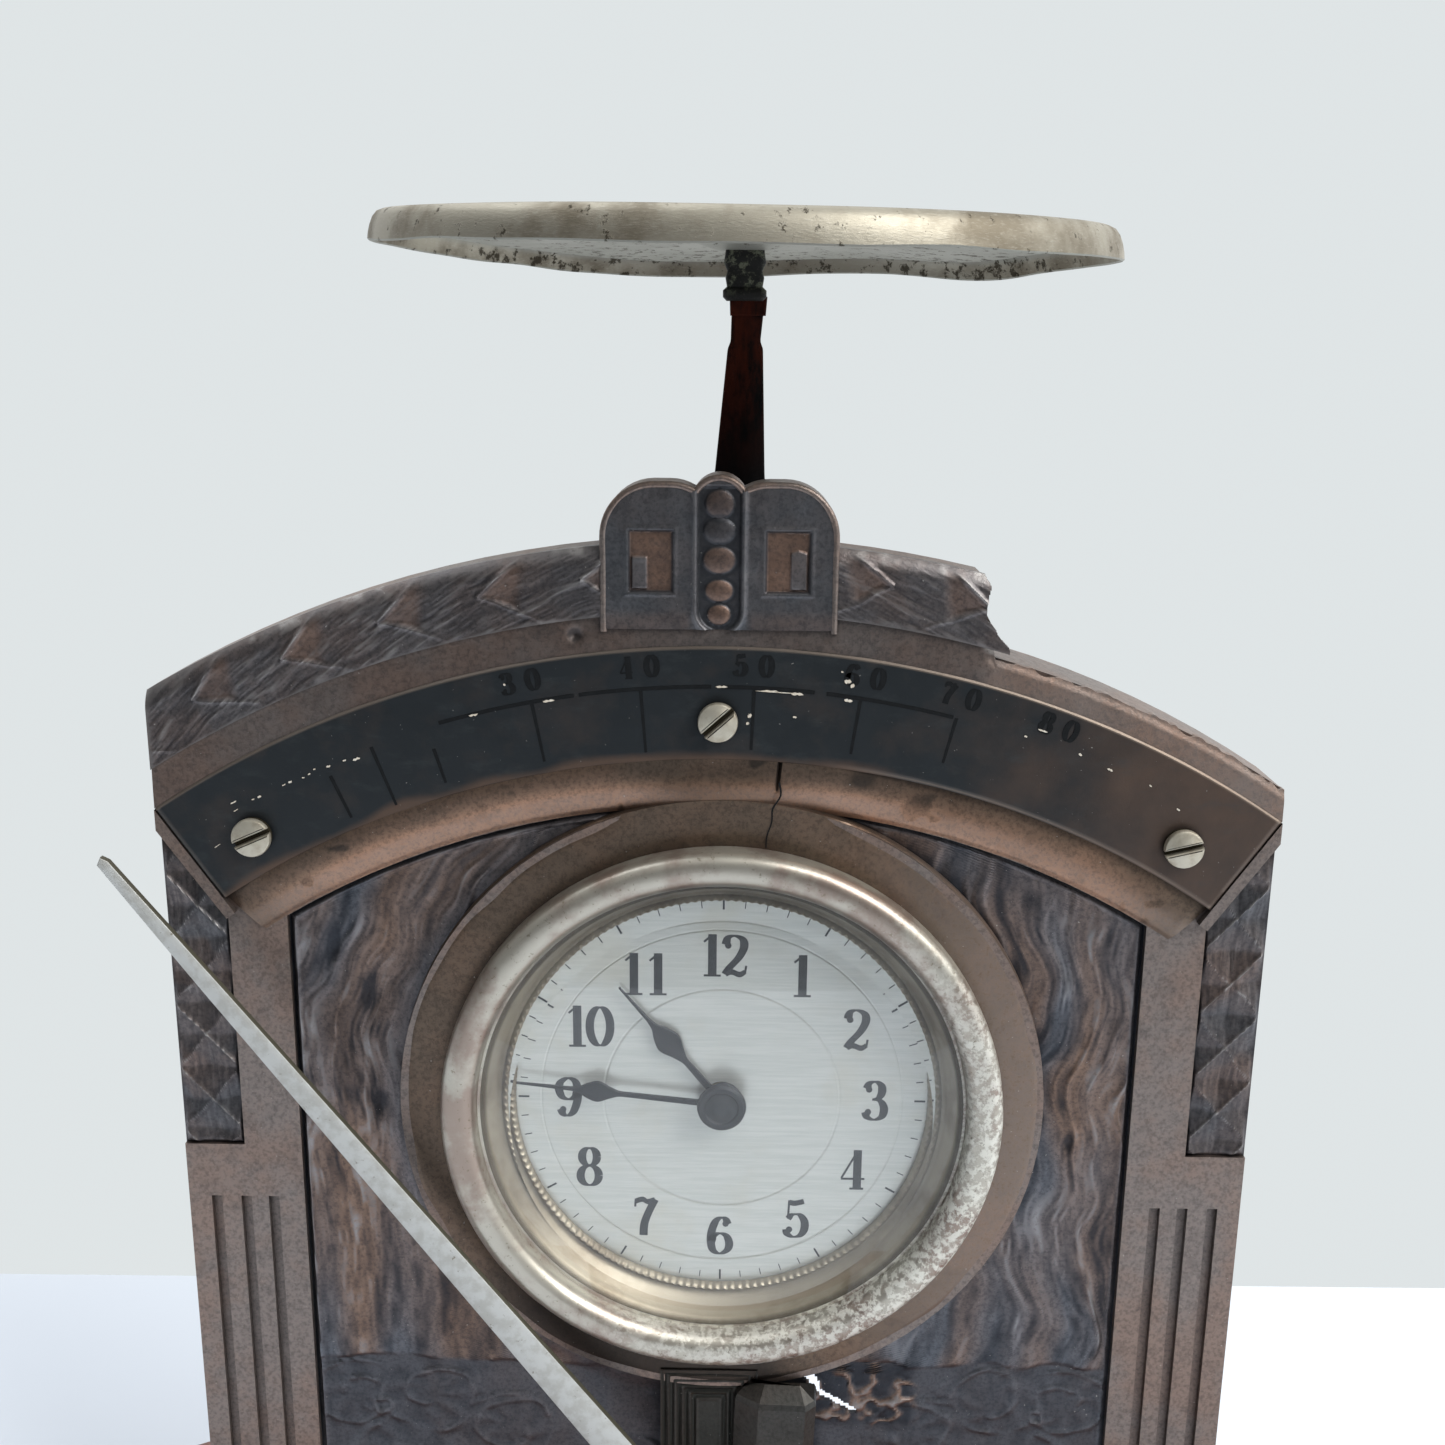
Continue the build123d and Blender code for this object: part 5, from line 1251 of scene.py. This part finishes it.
FLECK_TAPER = np.array([0.15, 0.8, 1.0, 0.55, 1.0, 0.7, 0.15])
rng = np.random.default_rng(7)
worn_line = [(a, 126.3 + rng.normal(0, 0.18), rng.uniform(0.25, 0.75), rng.uniform(0.07, 0.15))
             for a in np.arange(-31.2, -23.6, 0.42) if rng.random() < 0.6]
flecks = []
for angle, radius, length, half in FLECKS + worn_line:
    a = math.radians(angle)
    along = np.array([math.cos(a), -math.sin(a)])
    inward = np.array([-math.sin(a), -math.cos(a)])
    centre = np.array(about_arbor(radius + 1.0, angle))
    spread = np.linspace(-0.5, 0.5, 7)[:, None]
    bend = rng.normal(0, 0.3 * min(half, 0.12), 7)[:, None]
    path = centre + spread * along * length + bend * inward
    flecks.append((path, FLECK_TAPER * half))
drawn("plate_flecks", flecks, plate_top - 0.015, fleck_white, slot="blackened_plate")

crack = smooth_path([(8.1, 47.0), (8.3, 45.2), (7.3, 43.4), (7.2, 41.6), (6.6, 39.6), (6.5, 38.0)], 4)
drawn("boss_crack", [(crack, np.linspace(0.13, 0.06, len(crack)))], -2.14, tick_ink)


HEAD_R, SLOT_W = 2.6, 0.6


def slotted_head(name, x, z, turn):
    """Domed cheese head in three parts: a disc below, painted near-black as shade in the slot, and two
    D-shaped lands beside the slot.
    """
    front = front_of("number_plate_screws")
    where = dict(slot="nickel_screw", replaces=["number_plate_screws"])
    disc = HEAD_R - 0.1
    lathe(name + "_disc", [(0, -1.0), (disc, -1.0), (disc, front + 0.85), (0, front + 0.85)],
          x, z, slot_floor_shade, 48, **where)
    c, s = math.cos(math.radians(turn)), math.sin(math.radians(turn))
    for number, flip in enumerate((1, -1)):
        start = math.asin(SLOT_W / 2 / HEAD_R)
        lobe = [(HEAD_R * math.cos(a), flip * HEAD_R * math.sin(a))
                for a in np.linspace(start, math.pi - start, 24)]
        outline = [(x + px * c - pz * s, z + px * s + pz * c) for px, pz in lobe]
        dome = [(0, front + 0.9), (0, front + 0.3), (0.1, front + 0.12), (0.35, front)]
        loft(f"{name}_land_{number}", outline, dome, screw_nickel, **where)


for number, (angle, turn) in enumerate([(-29.9, 24), (0.0, 42), (29.9, 14)]):
    slotted_head(f"plate_screw_{number}", *about_arbor(123.2, angle), turn)


# ---------------------------------------------------------------- pointer
tip_angle = math.radians(-36.9)
blade_front = front_of("pointer")
across = np.array([math.cos(tip_angle), -math.sin(tip_angle)])
along = np.array([math.sin(tip_angle), math.cos(tip_angle)])
pivot = np.array([0.0, -DROP])


def bar_edge(reach, half):
    return pivot + along * reach + across * half


BLADE = [(3.6, 3.4), (8, 2.7), (60, 1.95), (110, 1.25), (131.2, 0.85), (132.2, 0.35), (131.6, -0.75),
         (110, -1.25), (60, -1.95), (8, -2.7), (3.6, -3.4)]
pointer_outline = [bar_edge(reach, half) for reach, half in BLADE]
hub_turn = math.pi / 2 - tip_angle
pointer_outline += [pivot + 5.0 * np.array([math.cos(a), math.sin(a)])
                    for a in np.linspace(hub_turn + 0.75, hub_turn + 2 * math.pi - 0.75, 28)]
blade_edge = [(0, blade_front + 0.95), (0, blade_front + 0.22), (0.1, blade_front + 0.06),
              (0.26, blade_front)]
loft("pointer_blade", pointer_outline, blade_edge, pointer_white, body="lever", slot="pointer_white",
     replaces=["pointer"])


# ---------------------------------------------------------------- pan, socket and stem
pan_low, pan_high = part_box("weighing_pan")
pan_x, pan_y = (pan_low.x + pan_high.x) / 2 / MM, (pan_low.y + pan_high.y) / 2 / MM
pan_top, pan_r = pan_high.z / MM, (pan_high.x - pan_low.x) / 2 / MM
# How far the rim is bent up, by degrees about the pan from +X. The steps are smoothed below.
BEND_AT = [-180, -135, -90, -45, 0, 20, 42, 58, 75, 90, 110, 135, 160, 180]
BEND = [0.0, -1.4, -2.3, -2.3, -1.9, -2.5, -3.9, -2.4, -2.3, -3.0, -3.4, -1.9, -0.6, 0.0]
fine_turn = np.arange(-180, 180)
fine_bend = np.interp(fine_turn, BEND_AT, BEND)
fine_bend = sum(np.roll(fine_bend, k) for k in range(-9, 10)) / 19


def pan_wave(angle, radius, depth):
    """The thin dish is bent: its rim dips in front and at the back right."""
    share = (radius / pan_r) ** 3
    turn = np.degrees(np.arctan2(np.sin(angle), np.cos(angle)))
    lip = 0.25 * ease(pan_top - depth, 2.5, 4.0) * noise(40 * np.cos(angle), 40 * np.sin(angle), 9, 120)
    return radius, depth + share * (np.interp(turn, fine_turn, fine_bend, period=360) + lip)


# The dish's section: radii and drops below its top, with the rim's radii measured in from its edge.
dish_top = [(0.0, 4.2), (3.8, 4.2), (4.6, 4.1), (7.8, 2.1), (9.2, 2.0), (30.0, 2.0)]
rim_steps = [(5.6, 1.95), (4.4, 1.3), (3.3, 0.25), (2.7, 0.03), (2.0, 0.0), (1.3, 0.25), (0.75, 0.9),
             (0.35, 1.9), (0.1, 2.9), (0.0, 3.75), (0.2, 3.98), (0.45, 3.8), (0.6, 2.9), (0.85, 2.0),
             (1.25, 1.2), (1.8, 0.7), (2.6, 0.6), (3.7, 1.2), (4.9, 2.2)]
dish_under = [(30.0, 2.5), (13.0, 2.5), (9.5, 2.95), (5.2, 4.3), (3.8, 4.7), (0.0, 4.7)]
pan_section = dish_top + [(pan_r - inset_by, drop) for inset_by, drop in rim_steps] + dish_under
lathe("pan_dish", [(r, pan_top - drop) for r, drop in pan_section], pan_x, pan_y, pan_nickel, 240,
      upright=True, shift=pan_wave, body="pan_carrier", slot="pan_nickel", replaces=["weighing_pan"])

socket_low, socket_high = (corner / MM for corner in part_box("stem_socket"))
socket = box_outline(socket_low.x, socket_high.x, socket_low.y, socket_high.y)
tall = socket_high.z - socket_low.z
waist = [(0.5, 0), (0.0, 0.5), (0.0, 1.4), (0.55, 1.9), (0.35, tall * 0.45), (0.6, tall * 0.6),
         (0.1, tall * 0.75), (0.35, tall)]
loft("socket_block", rounded(socket, 1.2), [(inward, socket_low.z + up) for inward, up in waist], socket_iron,
     place=plan_view, body="pan_carrier", slot="iron_black", replaces=["stem_socket"], sharp=50)

stem_low, stem_high = (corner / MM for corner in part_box("pan_stem"))
stem_front, stem_back = stem_low.y - FRONT_Y, stem_high.y - FRONT_Y
foot_x = stem_high.x - 6
foot_low, foot_high = stem_low.z - CLOCK_Z, -31.2
stem_top = stem_high.z - CLOCK_Z
stem_outline = [(foot_x - 6, foot_low), (foot_x + 6, foot_low), (foot_x + 6, foot_high), (6.1, 84),
                (5.6, 101.6), (5.2, 102.4), (5.65, 107), (4.1, 107.2), (4.0, stem_top), (1.8, stem_top),
                (1.7, 107.2), (1.1, 107), (1.0, 102.4), (0.6, 101.6), (-1.1, 84), (foot_x - 6, foot_high)]
stem_edge = [(0, stem_back), (0, stem_front + 0.25), (0.1, stem_front + 0.08), (0.25, stem_front)]
loft("stem_blade", rounded(stem_outline, 0.5, 3), stem_edge, iron_black, body="pan_carrier",
     slot="iron_black", replaces=["pan_stem"])
loft("stem_collar", [(0.9, 106.0), (5.9, 106.0), (6.1, 108.6), (0.8, 108.6)],
     [(0.1, stem_back + 0.3), (0, stem_back + 0.1), (0, stem_front - 0.3), (0.2, stem_front - 0.5)],
     iron_black, body="pan_carrier", slot="iron_black")


# ---------------------------------------------------------------- loose fragment and base
# Seen from above, in X and depth.
fragment = [(2.7, 0.4), (3.3, -2.4), (6.6, -4.7), (13.3, -5.0), (14.9, -3.6), (15.1, 0.6)]


def fragment_place(a, b, depth):
    """The snapped-off block leans forwards and a little clockwise."""
    return at(a + 0.03 * (depth + 50), b + 0.06 * (-58.0 - depth), depth)


block = [(0.5, -60.0), (0.0, -59.4), (0.0, -45.6), (0.3, -44.8), (1.3, -44.0), (2.4, -43.0)]
loft("casting_fragment", fragment, block, fragment_iron, place=fragment_place, sharp=14)

base_low, base_high = (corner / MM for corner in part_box("base_slab"))
base_outline = rounded(box_outline(base_low.x, base_high.x, base_low.y, base_high.y), 22.0, 14)
edge_r = 2.2
round_over = [(edge_r * (1 - math.sin(a)), base_high.z - edge_r * (1 - math.cos(a)))
              for a in np.linspace(math.pi / 2, 0, 7)]
loft("base_plinth", base_outline, [(0.4, base_low.z), (0.0, base_low.z + 0.4)] + round_over, base_copper,
     place=plan_view, slot="base_copper", replaces=["base_slab"], sharp=60)


# ---------------------------------------------------------------- room, light and camera
def stage_sheet(name, corners, colour):
    """Flat sheet of the room, which isn't part of the scale."""
    mesh = bpy.data.meshes.new(name)
    mesh.from_pydata(corners, [], [[0, 1, 2, 3]])
    p = Paint(name + "_paint")
    fine = p.noise(40, 3)
    mesh.materials.append(p.finish(p.mix(fine, colour, (0.5, 0.5, 0.5), 0.06), 0.75))
    sheet = bpy.data.objects.new(name, mesh)
    bpy.context.scene.collection.objects.link(sheet)


# The table ends behind the scale along a line a little out of square with it.
table = [(-1.2, -0.36, 0), (1.4, -0.36, 0), (1.4, 0.1215, 0), (-1.2, 0.1035, 0)]
stage_sheet("table_top", table, (0.75, 0.80, 0.875))


def light(name, place, aim, size, power, colour):
    """Rectangular area light that faces a point."""
    data = bpy.data.lights.new(name, "AREA")
    data.shape = "RECTANGLE"
    data.size, data.size_y = size
    data.energy, data.color = power, colour
    lamp = bpy.data.objects.new(name, data)
    lamp.location = place
    lamp.rotation_euler = (Vector(aim) - Vector(place)).to_track_quat("-Z", "Y").to_euler()
    bpy.context.scene.collection.objects.link(lamp)


light("window", (1.5, -0.9, 1.7), (0, 0, 0.1), (1.3, 1.5), 50.0, (1.0, 0.99, 0.97))
light("skylight", (-0.7, 0.35, 1.9), (0, 0, 0.1), (1.6, 1.2), 12.0, (0.93, 0.96, 1.0))

world = bpy.data.worlds.new("daylight")
bpy.context.scene.world = world
world.use_nodes = True
sky_nodes, sky_links = world.node_tree.nodes, world.node_tree.links
split = sky_nodes.new("ShaderNodeSeparateXYZ")
sky_links.new(sky_nodes.new("ShaderNodeTexCoord").outputs["Generated"], split.inputs[0])

DIMMEST = 0.10


def brighten(total, axis, start, end, amount):
    """Add a smooth rise of the room's brightness along an axis to a total, or to the dimmest light."""
    rise = sky_nodes.new("ShaderNodeMapRange")
    rise.interpolation_type = "SMOOTHSTEP"
    sky_links.new(split.outputs[axis], rise.inputs["Value"])
    rise.inputs["From Min"].default_value, rise.inputs["From Max"].default_value = start, end
    rise.inputs["To Max"].default_value = amount
    plus = sky_nodes.new("ShaderNodeMath")
    sky_links.new(rise.outputs["Result"], plus.inputs[0])
    if total is None:
        plus.inputs[1].default_value = DIMMEST
    else:
        sky_links.new(total, plus.inputs[1])
    return plus.outputs[0]


glow = brighten(None, "Y", -0.1, 0.6, 0.7)
glow = brighten(glow, "X", 0.2, 0.9, 0.55)
glow = brighten(glow, "Z", 0.25, 0.95, 0.45)
# The room lights the scale, and the camera sees a plain wall.
room = sky_nodes.new("ShaderNodeBackground")
room.inputs["Color"].default_value = (0.97, 0.99, 1.0, 1)
sky_links.new(glow, room.inputs["Strength"])
wall = sky_nodes.new("ShaderNodeBackground")
wall.inputs["Color"].default_value = (0.74, 0.78, 0.79, 1)
seen = sky_nodes.new("ShaderNodeLightPath")
choose = sky_nodes.new("ShaderNodeMixShader")
for number, socket in enumerate((seen.outputs["Is Camera Ray"], room.outputs[0], wall.outputs[0])):
    sky_links.new(socket, choose.inputs[number])
sky_links.new(choose.outputs[0], sky_nodes["World Output"].inputs["Surface"])

camera_data = bpy.data.cameras.new("view")
camera_data.lens, camera_data.sensor_width = 38.92, 36.0
camera_data.clip_start = 0.01
camera = bpy.data.objects.new("view", camera_data)
pitch, yaw, roll = 0.250, -0.007, 0.010
level_right = Vector((math.cos(yaw), -math.sin(yaw), 0))
heading = Vector((math.sin(yaw), math.cos(yaw), 0))
forward = math.cos(pitch) * heading - math.sin(pitch) * Vector((0, 0, 1))
upward = math.sin(pitch) * heading + math.cos(pitch) * Vector((0, 0, 1))
right = math.cos(roll) * level_right + math.sin(roll) * upward
up = math.cos(roll) * upward - math.sin(roll) * level_right
turned = Matrix((right, up, -forward)).transposed().to_4x4()
camera.matrix_world = Matrix.Translation((0.00198, -0.2046, 0.2134)) @ turned
bpy.context.scene.collection.objects.link(camera)
bpy.context.scene.camera = camera
bpy.context.scene.view_settings.view_transform = "Standard"
